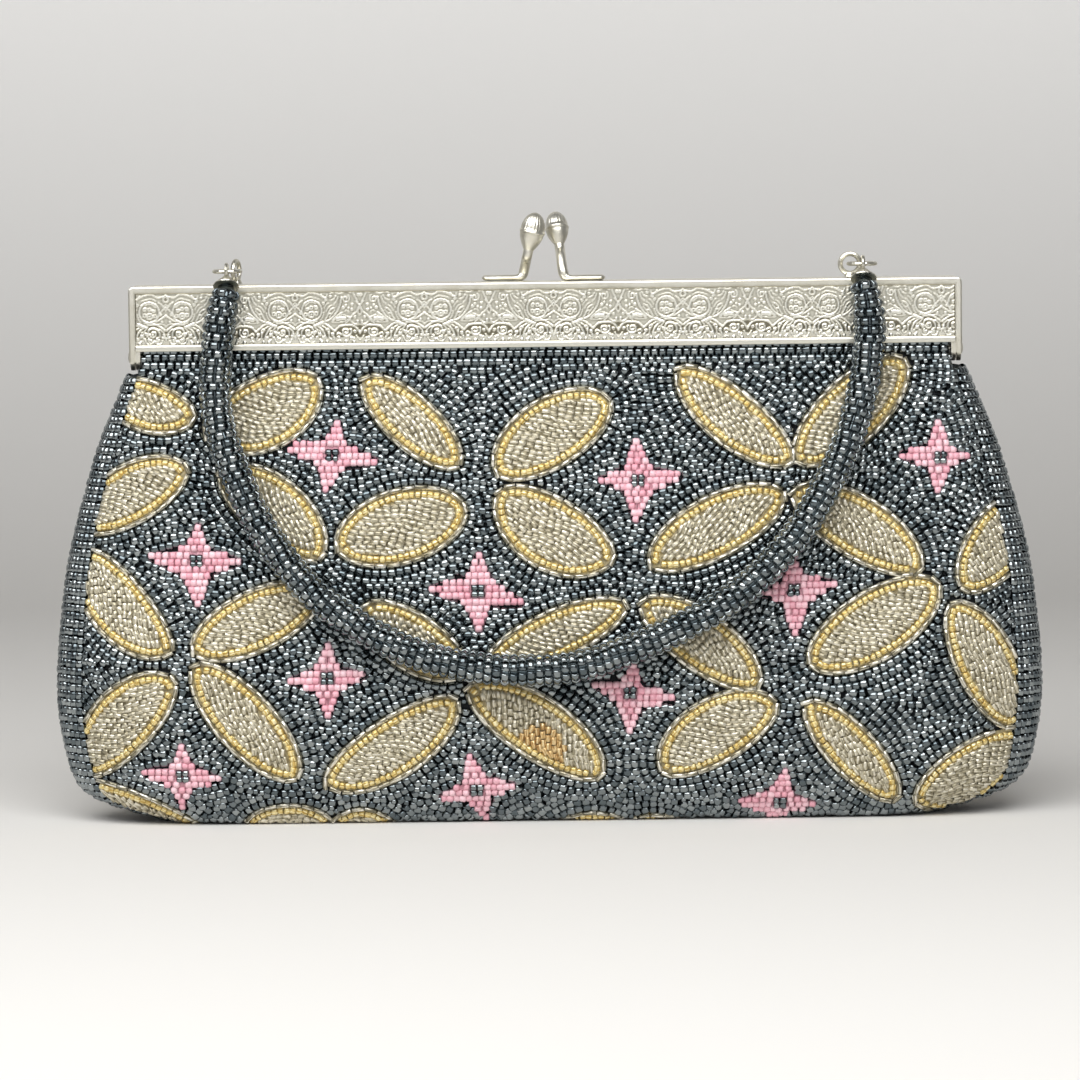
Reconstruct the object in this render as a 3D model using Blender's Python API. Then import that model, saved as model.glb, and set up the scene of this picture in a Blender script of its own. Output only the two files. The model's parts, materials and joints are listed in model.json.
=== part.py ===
"""Beaded evening clutch: embossed kiss-lock frame, soft beaded body, beaded rope handle.

Metres, +Z up. The origin is the middle of the flat base, -Y is the front and +X is
the right side seen from the front. The front half of the frame, the body and the
eyelets stand still. The rear half swings back about the rivets at the frame's ends,
the jump rings tip up about the eyelets, and the handle swings on the jump rings.
"""
import math

import bmesh
import bpy
from mathutils import Matrix, Vector

# Frame
FRAME_WIDTH = 0.1980
FRAME_TOP_Z = 0.1283
FRAME_CORNER_RADIUS = 0.0012
FRAME_EDGE_ROUND = 0.0004
HALF_DEPTH = 0.0069
SHEET = 0.0008
HINGE_DROP = 0.0170
PLATE_HEIGHT = 0.0140
RIM = 0.0013
RAIL = 0.0014
PLATE_RECESS = 0.0004
LEG_FLANGE = 0.0026
LEG_BELOW_HINGE = 0.0010
STRIP_SHEET = 0.0006
STRIP_HEIGHT = 0.0095
STRIP_TAB_COUNT = 6
STRIP_TAB_WIDTH = 0.0050
TONGUE_HEIGHT = 0.0025

# Frame hinge
LUG_RADIUS = 0.0032
LUG_TAIL_HEIGHT = 0.0060
LUG_PROUD = 0.0001
RIVET_RADIUS = 0.00075
RIVET_HEAD_RADIUS = 0.0017
RIVET_HEAD_HEIGHT = 0.0005
RIVET_INNER_SHARE = 0.8

# Kiss lock
ARM_WIRE_RADIUS = 0.00115
ARM_LINE_Y = 0.0034
ARM_FOOT_END_X = 0.0150
ARM_BEND_X = 0.0062
ARM_PIN_RADIUS = 0.0006
ARM_PIN_INSET = 0.0018
ARM_STRAIGHT = 0.0016
ARM_BEND_RISE_SHARE = 0.16
ARM_BEND_SHIFT_SHARE = 0.92
KNOB_RADIUS = 0.00285
KNOB_HEIGHT = 0.0088
KNOB_RISE = 0.0078
KNOB_CROSSING = 0.0012
KNOB_SOCKET_DEPTH = 0.0012
KNOB_TIP_RADIUS = 0.0002
KNOB_CROSS_LEAN = math.radians(9.0)
KNOB_SIDE_LEAN = math.radians(1.7)

# Eyelets and jump rings
EYELET_Y = -0.0039
EYELET_RADIUS = 0.00235
EYELET_WIRE_RADIUS = 0.0006
EYELET_COLLAR_RADIUS = 0.0015
EYELET_COLLAR_HEIGHT = 0.0007
EYELET_COLLAR_TOP_SHARE = 0.7
EYELET_STEM_RADIUS = 0.0008
EYELET_HEAD_RADIUS = 0.0015
EYELET_HEAD_HEIGHT = 0.0006
RIGHT_EYELET_TURN = 0.0
LEFT_EYELET_TURN = math.radians(75.0)
RIGHT_RING_RADIUS = 0.0032
RIGHT_RING_OUT = 0.00275
RIGHT_RING_FORWARD = 0.0007
LEFT_RING_RADIUS = 0.0031
LEFT_RING_OUT = 0.0020
LEFT_RING_FORWARD = 0.0015
RING_WIRE_RADIUS = 0.0005

# Handle
CAP_INSET = 0.0236
HANDLE_AXIS_FORWARD = 0.00425
CAP_EYE_RADIUS = 0.0017
CAP_EYE_WIRE_RADIUS = 0.00045
CAP_LIP_RADIUS = 0.0031
CAP_HEIGHT = 0.0026
CAP_LEAN = math.radians(33.0)
ROPE_DIAMETER = 0.0079
ROPE_END_SHARE = 0.74
ROPE_END_RUN = 0.0020
ROPE_TAPER_POINTS = 3
ROPE_STEP_DIAMETERS = 1.25

# Body
BODY_WIDTH = 0.2388
BODY_DEPTH = 0.0394
BASE_TUCK = 0.0262
CLOTH = 0.0020
TONGUE_CLOTH = 0.0012
LINING = 0.0008
LINING_EASE = 0.0012
CROWN_SHARE = 0.06
CORNER_POWER = 2.4
NECK_CORNER_REACH = 0.0030
BELLY_CORNER_REACH = 0.0400
NECK_SEAM_INSET = 0.0027
BELLY_SEAM_INSET = 0.0065

# Clearance between separate pieces, and how far a cutter runs past what it cuts
GAP = 0.0003
SEAM_GAP = 0.0005
RUNNING_GAP = 0.00025
OVERRUN = 0.0010
# Points closer than this count as one
CLOSE = 0.00001

# Height above the base as a share of the hinge's height, then the share of the way
# from the neck's size to the belly's size at that height
WIDTH_SHARES = (
    (0.28, 1.00), (0.38, 0.935), (0.55, 0.83), (0.73, 0.575), (0.81, 0.44), (0.90, 0.24), (1.00, 0.00),
)
DEPTH_SHARES = (
    (0.00, 0.45), (0.02, 0.60), (0.05, 0.74), (0.10, 0.88), (0.18, 0.98), (0.25, 1.00),
    (0.35, 0.985), (0.50, 0.86), (0.65, 0.66), (0.80, 0.42), (0.90, 0.20), (1.00, 0.00),
)
# The same heights, then the share of the base's tuck by which the ends draw in
TUCK_SHARES = (
    (0.00, 1.00), (0.010, 0.74), (0.021, 0.53), (0.034, 0.39), (0.052, 0.27), (0.075, 0.18),
    (0.12, 0.118), (0.165, 0.074), (0.21, 0.044), (0.33, 0.00),
)
# Heights of the body's rings of points, as shares of the height of the sheet they make
ROW_SHARES = (0.0, 0.012, 0.03, 0.055, 0.09, 0.14, 0.20, 0.28, 0.37, 0.47, 0.57, 0.67, 0.77, 0.86, 0.94, 1.0)
NECK_ROW_SHARES = (0.0, 0.25, 0.5, 0.75, 1.0)
GUSSET_TOP_ROW_SHARES = (0.0, 0.5, 1.0)
BASE_ROW_SHARES = (-0.5, 0.0, 0.5)
LINING_ROW_SHARES = (0.0, 0.05, 0.14, 0.28, 0.47, 0.62, 0.75, 0.85, 0.93, 1.0)

# Outer rivet head: height share, radius share, from its seat to its crown
RIVET_HEAD_SHARES = ((0.0, 1.0), (0.5, 0.9), (1.0, 0.5))
# Cap: height share, radius share of its lip, from the eye down to the lip
CAP_PROFILE_SHARES = ((0.0, 0.28), (0.15, 0.39), (0.45, 0.62), (0.75, 0.88), (0.88, 1.0), (1.0, 1.0))
# Acorn knob: height share, radius share, from the base to the tip
KNOB_PROFILE_SHARES = (
    (0.00, 0.54), (0.05, 0.63), (0.16, 0.79), (0.28, 0.91), (0.40, 0.96), (0.47, 0.93),
    (0.49, 1.00), (0.55, 1.00), (0.57, 0.94), (0.68, 0.90), (0.79, 0.75), (0.88, 0.48),
    (0.92, 0.25), (0.97, 0.15),
)

# The rope's route from the left cap to the right one, chosen by hand
ROPE_ROUTE = (
    (-0.0760, -0.0116, 0.1243), (-0.0772, -0.0118, 0.1183), (-0.0779, -0.0119, 0.1113),
    (-0.0783, -0.0127, 0.1043), (-0.0778, -0.0140, 0.0983), (-0.0762, -0.0156, 0.0918),
    (-0.0730, -0.0176, 0.0831), (-0.0686, -0.0195, 0.0736), (-0.0631, -0.0210, 0.0652),
    (-0.0560, -0.0223, 0.0568), (-0.0477, -0.0231, 0.0505), (-0.0368, -0.0238, 0.0441),
    (-0.0248, -0.0242, 0.0399), (-0.0120, -0.0243, 0.0379), (0.0000, -0.0243, 0.0377),
    (0.0085, -0.0243, 0.0389), (0.0180, -0.0241, 0.0418), (0.0281, -0.0237, 0.0459),
    (0.0382, -0.0232, 0.0509), (0.0469, -0.0225, 0.0567), (0.0558, -0.0211, 0.0652),
    (0.0618, -0.0197, 0.0731), (0.0664, -0.0181, 0.0810), (0.0707, -0.0163, 0.0893),
    (0.0733, -0.0145, 0.0969), (0.0754, -0.0128, 0.1045), (0.0766, -0.0119, 0.1123),
    (0.0766, -0.0118, 0.1188), (0.0760, -0.0116, 0.1243),
)

# Counts
TURN_SIDES = 20
WIRE_SIDES = 8
RING_SIDES = 24
CORNER_SIDES = 4
LUG_SIDES = 24
PANEL_COLUMNS = 16
GUSSET_COLUMNS = 9
LINING_COLUMNS = 6
LINING_SIDE_COLUMNS = 4

# Worked out from the sizes above
HALF_WIDTH = FRAME_WIDTH / 2
CAP_X = HALF_WIDTH - CAP_INSET
HINGE_Z = FRAME_TOP_Z - HINGE_DROP
KNOB_BASE_Z = FRAME_TOP_Z + KNOB_RISE
PLATE_Z = FRAME_TOP_Z - PLATE_HEIGHT
LEG_END_Z = HINGE_Z - LEG_BELOW_HINGE
NECK_HALF_WIDTH = HALF_WIDTH - SHEET / 2
NECK_HALF_DEPTH = HALF_DEPTH - SHEET + GAP
SWEEP_RADIUS = math.hypot(HALF_DEPTH, PLATE_Z - HINGE_Z)
REAR_CUT_Z = HINGE_Z - SWEEP_RADIUS - 2 * GAP
GUSSET_TOP_Z = HINGE_Z - LUG_RADIUS - 2 * GAP
EYELET_Z = FRAME_TOP_Z + GAP + EYELET_COLLAR_HEIGHT + EYELET_RADIUS
HANDLE_AXIS = Vector((0.0, EYELET_Y - HANDLE_AXIS_FORWARD, EYELET_Z))
CAP_DIRECTION = Vector((0.0, -math.sin(CAP_LEAN), -math.cos(CAP_LEAN)))

SILVER = ("aged_silver", (0.62, 0.58, 0.50, 1.0), 0.35, 1.0)
STEEL = ("bright_steel", (0.66, 0.64, 0.60, 1.0), 0.25, 1.0)
BEADWORK = ("gunmetal_beadwork", (0.05, 0.06, 0.08, 1.0), 0.30, 0.6)
SATIN = ("grey_satin", (0.32, 0.31, 0.33, 1.0), 0.55, 0.0)


def clear_scene():
    for old in list(bpy.data.objects):
        bpy.data.objects.remove(old, do_unlink=True)


def material(spec):
    name, color, roughness, metallic = spec
    made = bpy.data.materials.new(name)
    made.use_nodes = True
    shader = made.node_tree.nodes["Principled BSDF"]
    shader.inputs["Base Color"].default_value = color
    shader.inputs["Roughness"].default_value = roughness
    shader.inputs["Metallic"].default_value = metallic
    made.diffuse_color = color
    return made


def place_mesh(name, bm, spec, smooth_angle=math.radians(35.0)):
    """Turn a bmesh into a named object with outward faces and its own material."""
    bmesh.ops.recalc_face_normals(bm, faces=bm.faces)
    mesh = bpy.data.meshes.new(name)
    bm.to_mesh(mesh)
    bm.free()
    mesh.shade_smooth()
    mesh.set_sharp_from_angle(angle=smooth_angle)
    made = bpy.data.objects.new(name, mesh)
    made.data.materials.append(material(spec))
    bpy.context.scene.collection.objects.link(made)
    return made


def combine(target, bm, operation, label):
    """Add, or cut away, the shape in bm with a Boolean modifier on the target."""
    tool = place_mesh(target.name + "." + label, bm, SILVER)
    tool.hide_render = True
    tool.display_type = "WIRE"
    change = target.modifiers.new(label, "BOOLEAN")
    change.operation = operation
    change.solver = "EXACT"
    change.object = tool
    return target


def set_origin(made, point):
    """Put an object's origin on a point and leave its surface where it is."""
    made.data.transform(Matrix.Translation(-Vector(point)))
    made.location = point


def box_shape(low, high):
    bm = bmesh.new()
    bmesh.ops.create_cube(bm, size=1.0)
    low, high = Vector(low), Vector(high)
    for vert in bm.verts:
        share = vert.co + Vector((0.5, 0.5, 0.5))
        vert.co = Vector(low[i] + (high[i] - low[i]) * share[i] for i in range(3))
    return bm


def turned_shape(profile, start, direction, sides=TURN_SIDES):
    """Revolve (distance along, radius) pairs about a line; both ends are closed flat."""
    bm = bmesh.new()
    turn = Vector((0.0, 0.0, 1.0)).rotation_difference(Vector(direction).normalized())
    rings = []
    for along, radius in profile:
        ring = []
        for i in range(sides):
            angle = 2 * math.pi * i / sides
            point = Vector((radius * math.cos(angle), radius * math.sin(angle), along))
            ring.append(bm.verts.new(Vector(start) + turn @ point))
        rings.append(ring)
    for lower, upper in zip(rings, rings[1:]):
        for i in range(sides):
            j = (i + 1) % sides
            bm.faces.new((lower[i], lower[j], upper[j], upper[i]))
    bm.faces.new(reversed(rings[0]))
    bm.faces.new(rings[-1])
    return bm


def rod_shape(start, end, radius, sides=TURN_SIDES):
    run = Vector(end) - Vector(start)
    return turned_shape(((0.0, radius), (run.length, radius)), start, run, sides)


def ring_shape(centre, normal, radius, wire_radius):
    """A round wire ring about a centre, lying square to its normal."""
    bm = bmesh.new()
    turn = Vector((0.0, 0.0, 1.0)).rotation_difference(Vector(normal).normalized())
    rings = []
    for i in range(RING_SIDES):
        around = 2 * math.pi * i / RING_SIDES
        ring = []
        for j in range(WIRE_SIDES):
            across = 2 * math.pi * j / WIRE_SIDES
            reach = radius + wire_radius * math.cos(across)
            point = Vector((reach * math.cos(around), reach * math.sin(around),
                            wire_radius * math.sin(across)))
            ring.append(bm.verts.new(Vector(centre) + turn @ point))
        rings.append(ring)
    for i in range(RING_SIDES):
        here, after = rings[i], rings[(i + 1) % RING_SIDES]
        for j in range(WIRE_SIDES):
            k = (j + 1) % WIRE_SIDES
            bm.faces.new((here[j], after[j], after[k], here[k]))
    return bm


def smooth_points(route, step):
    """Points about one step apart on a smooth curve through a route's own points."""
    route = [Vector(point) for point in route]
    padded = [2 * route[0] - route[1]] + route + [2 * route[-1] - route[-2]]
    fine = []
    for before, here, after, beyond in zip(padded, padded[1:], padded[2:], padded[3:]):
        parts = max(2, round((after - here).length / (step / 8)))
        for i in range(parts):
            t = i / parts
            fine.append(0.5 * (2 * here + (after - before) * t
                               + (2 * before - 5 * here + 4 * after - beyond) * t ** 2
                               + (3 * here - before - 3 * after + beyond) * t ** 3))
    fine.append(route[-1])
    length = sum((b - a).length for a, b in zip(fine, fine[1:]))
    count = max(2, round(length / step))
    points, walked, wanted = [fine[0]], 0.0, length / count
    for a, b in zip(fine, fine[1:]):
        run = (b - a).length
        while walked + run >= wanted and len(points) < count:
            points.append(a.lerp(b, (wanted - walked) / run))
            wanted += length / count
        walked += run
    points.append(fine[-1])
    return points


def tube_shape(points, radius, sides=WIRE_SIDES + 4):
    """A round wire along points, with flat ends."""
    bm = bmesh.new()
    points = [Vector(point) for point in points]
    tangents = []
    for i in range(len(points)):
        tangents.append((points[min(i + 1, len(points) - 1)] - points[max(i - 1, 0)]).normalized())
    side = tangents[0].orthogonal().normalized()
    rings = []
    for i, point in enumerate(points):
        if i:
            side = (tangents[i - 1].rotation_difference(tangents[i]) @ side).normalized()
        up = tangents[i].cross(side)
        ring = []
        for j in range(sides):
            angle = 2 * math.pi * j / sides
            ring.append(bm.verts.new(point + radius * (math.cos(angle) * side + math.sin(angle) * up)))
        rings.append(ring)
    for lower, upper in zip(rings, rings[1:]):
        for j in range(sides):
            k = (j + 1) % sides
            bm.faces.new((lower[j], lower[k], upper[k], upper[j]))
    bm.faces.new(reversed(rings[0]))
    bm.faces.new(rings[-1])
    return bm


def prism_shape(outline, y_low, y_high):
    """Extrude an outline of (x, z) pairs along Y."""
    bm = bmesh.new()
    near = [bm.verts.new((x, y_low, z)) for x, z in outline]
    far = [bm.verts.new((x, y_high, z)) for x, z in outline]
    bm.faces.new(near)
    bm.faces.new(reversed(far))
    for i in range(len(outline)):
        j = (i + 1) % len(outline)
        bm.faces.new((near[j], near[i], far[i], far[j]))
    return bm


def disc_shape(x_low, x_high, radius):
    """A disc about the frame's hinge line."""
    return rod_shape((x_low, 0.0, HINGE_Z), (x_high, 0.0, HINGE_Z), radius, LUG_SIDES)


def span(side, near, far):
    """Lower and higher X of a stretch measured outwards from the middle on one side."""
    return (near, far) if side > 0 else (-far, -near)


def frame_outline():
    """Front view of one half: a wide arch with rounded upper corners and short legs."""
    points = [(-HALF_WIDTH, LEG_END_Z)]
    for centre_x, first in ((-HALF_WIDTH + FRAME_CORNER_RADIUS, math.pi),
                            (HALF_WIDTH - FRAME_CORNER_RADIUS, math.pi / 2)):
        for i in range(CORNER_SIDES + 1):
            angle = first - math.pi / 2 * i / CORNER_SIDES
            points.append((centre_x + FRAME_CORNER_RADIUS * math.cos(angle),
                           FRAME_TOP_Z - FRAME_CORNER_RADIUS + FRAME_CORNER_RADIUS * math.sin(angle)))
    inner = HALF_WIDTH - LEG_FLANGE
    points += [(HALF_WIDTH, LEG_END_Z), (inner, LEG_END_Z), (inner, PLATE_Z),
               (-inner, PLATE_Z), (-inner, LEG_END_Z)]
    return points


def make_frame_half(name, facing):
    """One half of the frame: a channel of sheet with a recessed plate; facing is -1 in front."""
    bm = prism_shape(frame_outline(), min(facing * GAP / 2, facing * HALF_DEPTH),
                     max(facing * GAP / 2, facing * HALF_DEPTH))
    face = facing * HALF_DEPTH
    reach = HALF_WIDTH - LEG_FLANGE / 2

    def on_rim(vert):
        high = vert.co.z > FRAME_TOP_Z - FRAME_CORNER_RADIUS - CLOSE
        return abs(vert.co.y - face) < CLOSE and (high or abs(vert.co.x) > reach)

    outer = [edge for edge in bm.edges if all(on_rim(vert) for vert in edge.verts)]
    bmesh.ops.bevel(bm, geom=outer, offset=FRAME_EDGE_ROUND, segments=2, profile=0.5,
                    affect="EDGES", clamp_overlap=True)
    half = place_mesh(name, bm, SILVER)

    def depth(low, high):
        return (facing * low, facing * high) if facing > 0 else (facing * high, facing * low)

    back, wall = depth(-OVERRUN, HALF_DEPTH - SHEET)
    combine(half, box_shape((-HALF_WIDTH + SHEET, back, LEG_END_Z - OVERRUN),
                            (HALF_WIDTH - SHEET, wall, FRAME_TOP_Z - SHEET)), "DIFFERENCE", "hollow")
    near, far = depth(HALF_DEPTH - PLATE_RECESS, HALF_DEPTH + OVERRUN)
    combine(half, box_shape((-HALF_WIDTH + RIM, near, PLATE_Z + RAIL),
                            (HALF_WIDTH - RIM, far, FRAME_TOP_Z - RIM)), "DIFFERENCE", "plate")
    for side, word in ((-1, "left"), (1, "right")):
        low, high = span(side, HALF_WIDTH - LEG_FLANGE - OVERRUN, HALF_WIDTH - RIM)
        combine(half, box_shape((low, near, LEG_END_Z - OVERRUN), (high, far, PLATE_Z - GAP)),
                "DIFFERENCE", word + "_strip")
    return half


def add_front_lugs(half):
    """Round ears on the front half's legs, in line with its side walls."""
    for side, word in ((-1, "left"), (1, "right")):
        low, high = span(side, HALF_WIDTH - SHEET - LUG_PROUD, HALF_WIDTH + LUG_PROUD)
        combine(half, disc_shape(low, high, LUG_RADIUS), "UNION", word + "_lug")
        low, high = span(side, HALF_WIDTH - SHEET - OVERRUN, HALF_WIDTH + OVERRUN)
        combine(half, disc_shape(low, high, RIVET_RADIUS + RUNNING_GAP), "DIFFERENCE", word + "_hole")


def add_rear_lugs(half):
    """Round ears set in by one sheet, which turn inside the front half's ears."""
    outer = HALF_WIDTH - SHEET - 2 * LUG_PROUD - GAP
    tail_end = HALF_DEPTH - (SHEET + PLATE_RECESS) / 2
    for side, word in ((-1, "left"), (1, "right")):
        low, high = span(side, HALF_WIDTH - SHEET - GAP / 2, HALF_WIDTH + OVERRUN)
        combine(half, disc_shape(low, high, LUG_RADIUS + GAP), "DIFFERENCE", word + "_relief")
        low, high = span(side, outer - SHEET, outer)
        tail = box_shape((low, 0.0, HINGE_Z), (high, tail_end, HINGE_Z + LUG_TAIL_HEIGHT))
        combine(half, tail, "UNION", word + "_tail")
        low, high = span(side, outer - SHEET - LUG_PROUD, outer + LUG_PROUD)
        combine(half, disc_shape(low, high, LUG_RADIUS), "UNION", word + "_lug")
        low, high = span(side, outer - SHEET - OVERRUN, outer + OVERRUN)
        combine(half, disc_shape(low, high, RIVET_RADIUS + RUNNING_GAP), "DIFFERENCE", word + "_hole")


def drill_top(half, x, y, radius, label):
    """A hole through the top wall of a frame half."""
    combine(half, rod_shape((x, y, FRAME_TOP_Z - SHEET - OVERRUN), (x, y, FRAME_TOP_Z + OVERRUN),
                            radius, TURN_SIDES), "DIFFERENCE", label)


def make_inner_strip(name, facing):
    """The flat strip that holds the cloth against the back of the plate."""
    plate_back = HALF_DEPTH - SHEET
    near = min(plate_back - GAP - TONGUE_CLOTH, NECK_HALF_DEPTH - CLOTH) - GAP
    reach = NECK_HALF_WIDTH - CLOTH - NECK_CORNER_REACH / 2 - GAP
    low_z = PLATE_Z - TONGUE_HEIGHT
    strip_y = sorted((facing * near, facing * (near - STRIP_SHEET)))
    bm = box_shape((-reach, strip_y[0], low_z), (reach, strip_y[1], low_z + STRIP_HEIGHT))
    strip = place_mesh(name, bm, STEEL)
    tab_y = sorted((facing * (near - STRIP_SHEET / 2), facing * (plate_back - GAP)))
    tab_z = low_z + STRIP_HEIGHT - STRIP_SHEET
    for i in range(STRIP_TAB_COUNT):
        middle = reach * (2 * (i + 0.5) / STRIP_TAB_COUNT - 1)
        tab = box_shape((middle - STRIP_TAB_WIDTH / 2, tab_y[0], tab_z),
                        (middle + STRIP_TAB_WIDTH / 2, tab_y[1], tab_z + STRIP_SHEET / 2))
        combine(strip, tab, "UNION", "tab_%d" % i)
    return strip


def make_hinge_rivet(name, side):
    """Rivet through both ears, with a head outside and a smaller one inside."""
    inner = HALF_WIDTH - 2 * SHEET - 3 * LUG_PROUD - 2 * GAP - RIVET_HEAD_HEIGHT
    shank = inner + RIVET_HEAD_HEIGHT
    outer = HALF_WIDTH + LUG_PROUD + GAP / 2
    seat = outer - shank + RIVET_HEAD_HEIGHT
    clenched = RIVET_HEAD_RADIUS * RIVET_INNER_SHARE
    profile = [(0.0, clenched), (RIVET_HEAD_HEIGHT, clenched), (RIVET_HEAD_HEIGHT, RIVET_RADIUS),
               (seat, RIVET_RADIUS)]
    profile += [(seat + high * RIVET_HEAD_HEIGHT, wide * RIVET_HEAD_RADIUS)
                for high, wide in RIVET_HEAD_SHARES]
    bm = turned_shape(profile, (side * inner, 0.0, HINGE_Z), (side, 0.0, 0.0))
    return place_mesh(name, bm, STEEL)


def knob_base(side, facing):
    """Where an acorn starts; the arm from one half crosses to lie over the other half."""
    x = side * (KNOB_RADIUS + GAP / 2)
    return Vector((x, -facing * KNOB_CROSSING, KNOB_BASE_Z))


def arm_direction(side, facing):
    """The way the arm's end points, which is also the acorn's axis."""
    return Vector((-side * math.tan(KNOB_SIDE_LEAN), -facing * math.tan(KNOB_CROSS_LEAN), 1.0)).normalized()


def make_clasp_arm(name, side, facing, half):
    """Bent wire: a foot along the top of the frame, then a stem up to the acorn."""
    foot_z = FRAME_TOP_Z + GAP + ARM_WIRE_RADIUS
    foot_y = facing * ARM_LINE_Y
    base = knob_base(side, facing)
    direction = arm_direction(side, facing)
    top = base + direction * (KNOB_SOCKET_DEPTH - RUNNING_GAP)
    bend = ARM_BEND_X
    bend_z = foot_z + ARM_BEND_RISE_SHARE * (base.z - foot_z)
    route = [(side * ARM_FOOT_END_X, foot_y, foot_z),
             (side * (bend + ARM_FOOT_END_X) / 2, foot_y, foot_z),
             (side * (bend + ARM_WIRE_RADIUS / 2), foot_y, foot_z),
             (side * (bend - ARM_WIRE_RADIUS), foot_y * ARM_BEND_SHIFT_SHARE, bend_z),
             base - direction * 2 * ARM_STRAIGHT, base - direction * ARM_STRAIGHT, base, top]
    arm = place_mesh(name, tube_shape(smooth_points(route, ARM_WIRE_RADIUS), ARM_WIRE_RADIUS), STEEL)
    for i, share in enumerate((0.0, 1.0)):
        near, far = bend + ARM_PIN_INSET, ARM_FOOT_END_X - ARM_PIN_INSET
        x = side * (near + (far - near) * share)
        combine(arm, rod_shape((x, foot_y, FRAME_TOP_Z - SHEET - GAP), (x, foot_y, foot_z),
                               ARM_PIN_RADIUS, TURN_SIDES // 2), "UNION", "pin_%d" % i)
        drill_top(half, x, foot_y, ARM_PIN_RADIUS + RUNNING_GAP, "arm_pin_%d" % i)
    return arm


def make_knob(name, side, facing):
    """Acorn with a smooth cup, a raised band, a domed cap and a small pointed tip."""
    base = knob_base(side, facing)
    direction = arm_direction(side, facing)
    profile = [(share * KNOB_HEIGHT, reach * KNOB_RADIUS) for share, reach in KNOB_PROFILE_SHARES]
    profile.append((KNOB_HEIGHT, KNOB_TIP_RADIUS))
    knob = place_mesh(name, turned_shape(profile, base, direction), SILVER)
    socket = rod_shape(base - direction * OVERRUN, base + direction * KNOB_SOCKET_DEPTH,
                       ARM_WIRE_RADIUS + RUNNING_GAP / 2)
    return combine(knob, socket, "DIFFERENCE", "socket")


def ring_sizes(side):
    """Ring radius, how far out and forward its middle is, and the eyelet's turn."""
    if side > 0:
        return RIGHT_RING_RADIUS, RIGHT_RING_OUT, RIGHT_RING_FORWARD, RIGHT_EYELET_TURN
    return LEFT_RING_RADIUS, LEFT_RING_OUT, LEFT_RING_FORWARD, LEFT_EYELET_TURN


def eyelet_x(side):
    return side * (CAP_X - ring_sizes(side)[1])


def make_eyelet(name, side, half):
    """A wire ring on a collar, its stem riveted under the top of the frame."""
    x = eyelet_x(side)
    turn = ring_sizes(side)[3]
    normal = (side * math.sin(turn), math.cos(turn), 0.0)
    eyelet = place_mesh(name, ring_shape((x, EYELET_Y, EYELET_Z), normal, EYELET_RADIUS,
                                         EYELET_WIRE_RADIUS), SILVER)
    head_top = -(SHEET + 2 * GAP)
    collar_top = EYELET_COLLAR_HEIGHT + EYELET_WIRE_RADIUS / 2
    profile = ((head_top - EYELET_HEAD_HEIGHT, EYELET_HEAD_RADIUS), (head_top, EYELET_HEAD_RADIUS),
               (head_top, EYELET_STEM_RADIUS), (0.0, EYELET_STEM_RADIUS), (0.0, EYELET_COLLAR_RADIUS),
               (collar_top, EYELET_COLLAR_RADIUS * EYELET_COLLAR_TOP_SHARE))
    foot = turned_shape(profile, (x, EYELET_Y, FRAME_TOP_Z + GAP), (0.0, 0.0, 1.0), TURN_SIDES - 4)
    combine(eyelet, foot, "UNION", "foot")
    drill_top(half, x, EYELET_Y, EYELET_STEM_RADIUS + RUNNING_GAP, name)
    return eyelet


def make_jump_ring(name, side, rings_axis):
    """Level wire ring, linked through the eyelet and through the cap's eye."""
    radius, out, forward, turn = ring_sizes(side)
    centre = (eyelet_x(side) + side * out, EYELET_Y - forward, EYELET_Z)
    ring = place_mesh(name, ring_shape(centre, (0.0, 0.0, 1.0), radius, RING_WIRE_RADIUS), STEEL)
    set_origin(ring, (0.0, EYELET_Y, EYELET_Z))
    attach(ring, rings_axis)
    return ring


def cap_origin(side):
    return Vector((side * CAP_X, HANDLE_AXIS.y, HANDLE_AXIS.z))


def make_cap(name, side, handle_axis):
    """Cone with a rolled lip and an eye that goes round the jump ring."""
    eye = cap_origin(side)
    cap = place_mesh(name, ring_shape(eye, (1.0, 0.0, 0.0), CAP_EYE_RADIUS, CAP_EYE_WIRE_RADIUS), SILVER)
    start = CAP_EYE_RADIUS - CAP_EYE_WIRE_RADIUS / 4
    profile = [(down * CAP_HEIGHT, wide * CAP_LIP_RADIUS) for down, wide in CAP_PROFILE_SHARES]
    combine(cap, turned_shape(profile, eye + CAP_DIRECTION * start, CAP_DIRECTION), "UNION", "cone")
    attach(cap, handle_axis)
    return cap


def make_rope(name, handle_axis):
    """The beaded rope: a round tube along its route, slimmer where the caps hold it."""
    reach = CAP_EYE_RADIUS - CAP_EYE_WIRE_RADIUS / 4 + CAP_HEIGHT + GAP
    ends = [cap_origin(side) + CAP_DIRECTION * reach for side in (-1, 1)]
    inner = [end + CAP_DIRECTION * ROPE_END_RUN for end in ends]
    route = [inner[0], *ROPE_ROUTE, inner[1]]
    points = [ends[0], *smooth_points(route, ROPE_STEP_DIAMETERS * ROPE_DIAMETER), ends[1]]
    curve = bpy.data.curves.new(name, "CURVE")
    curve.dimensions = "3D"
    curve.bevel_depth = ROPE_DIAMETER / 2
    curve.bevel_resolution = 3
    curve.use_fill_caps = True
    spline = curve.splines.new("POLY")
    spline.points.add(len(points) - 1)
    for i, point in enumerate(points):
        spline.points[i].co = (*point, 1.0)
        from_end = min(i, len(points) - 1 - i)
        share = min(1.0, from_end / ROPE_TAPER_POINTS)
        spline.points[i].radius = ROPE_END_SHARE + (1 - ROPE_END_SHARE) * share
    rope = bpy.data.objects.new(name, curve)
    rope.data.materials.append(material(BEADWORK))
    bpy.context.scene.collection.objects.link(rope)
    attach(rope, handle_axis)
    return rope


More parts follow.
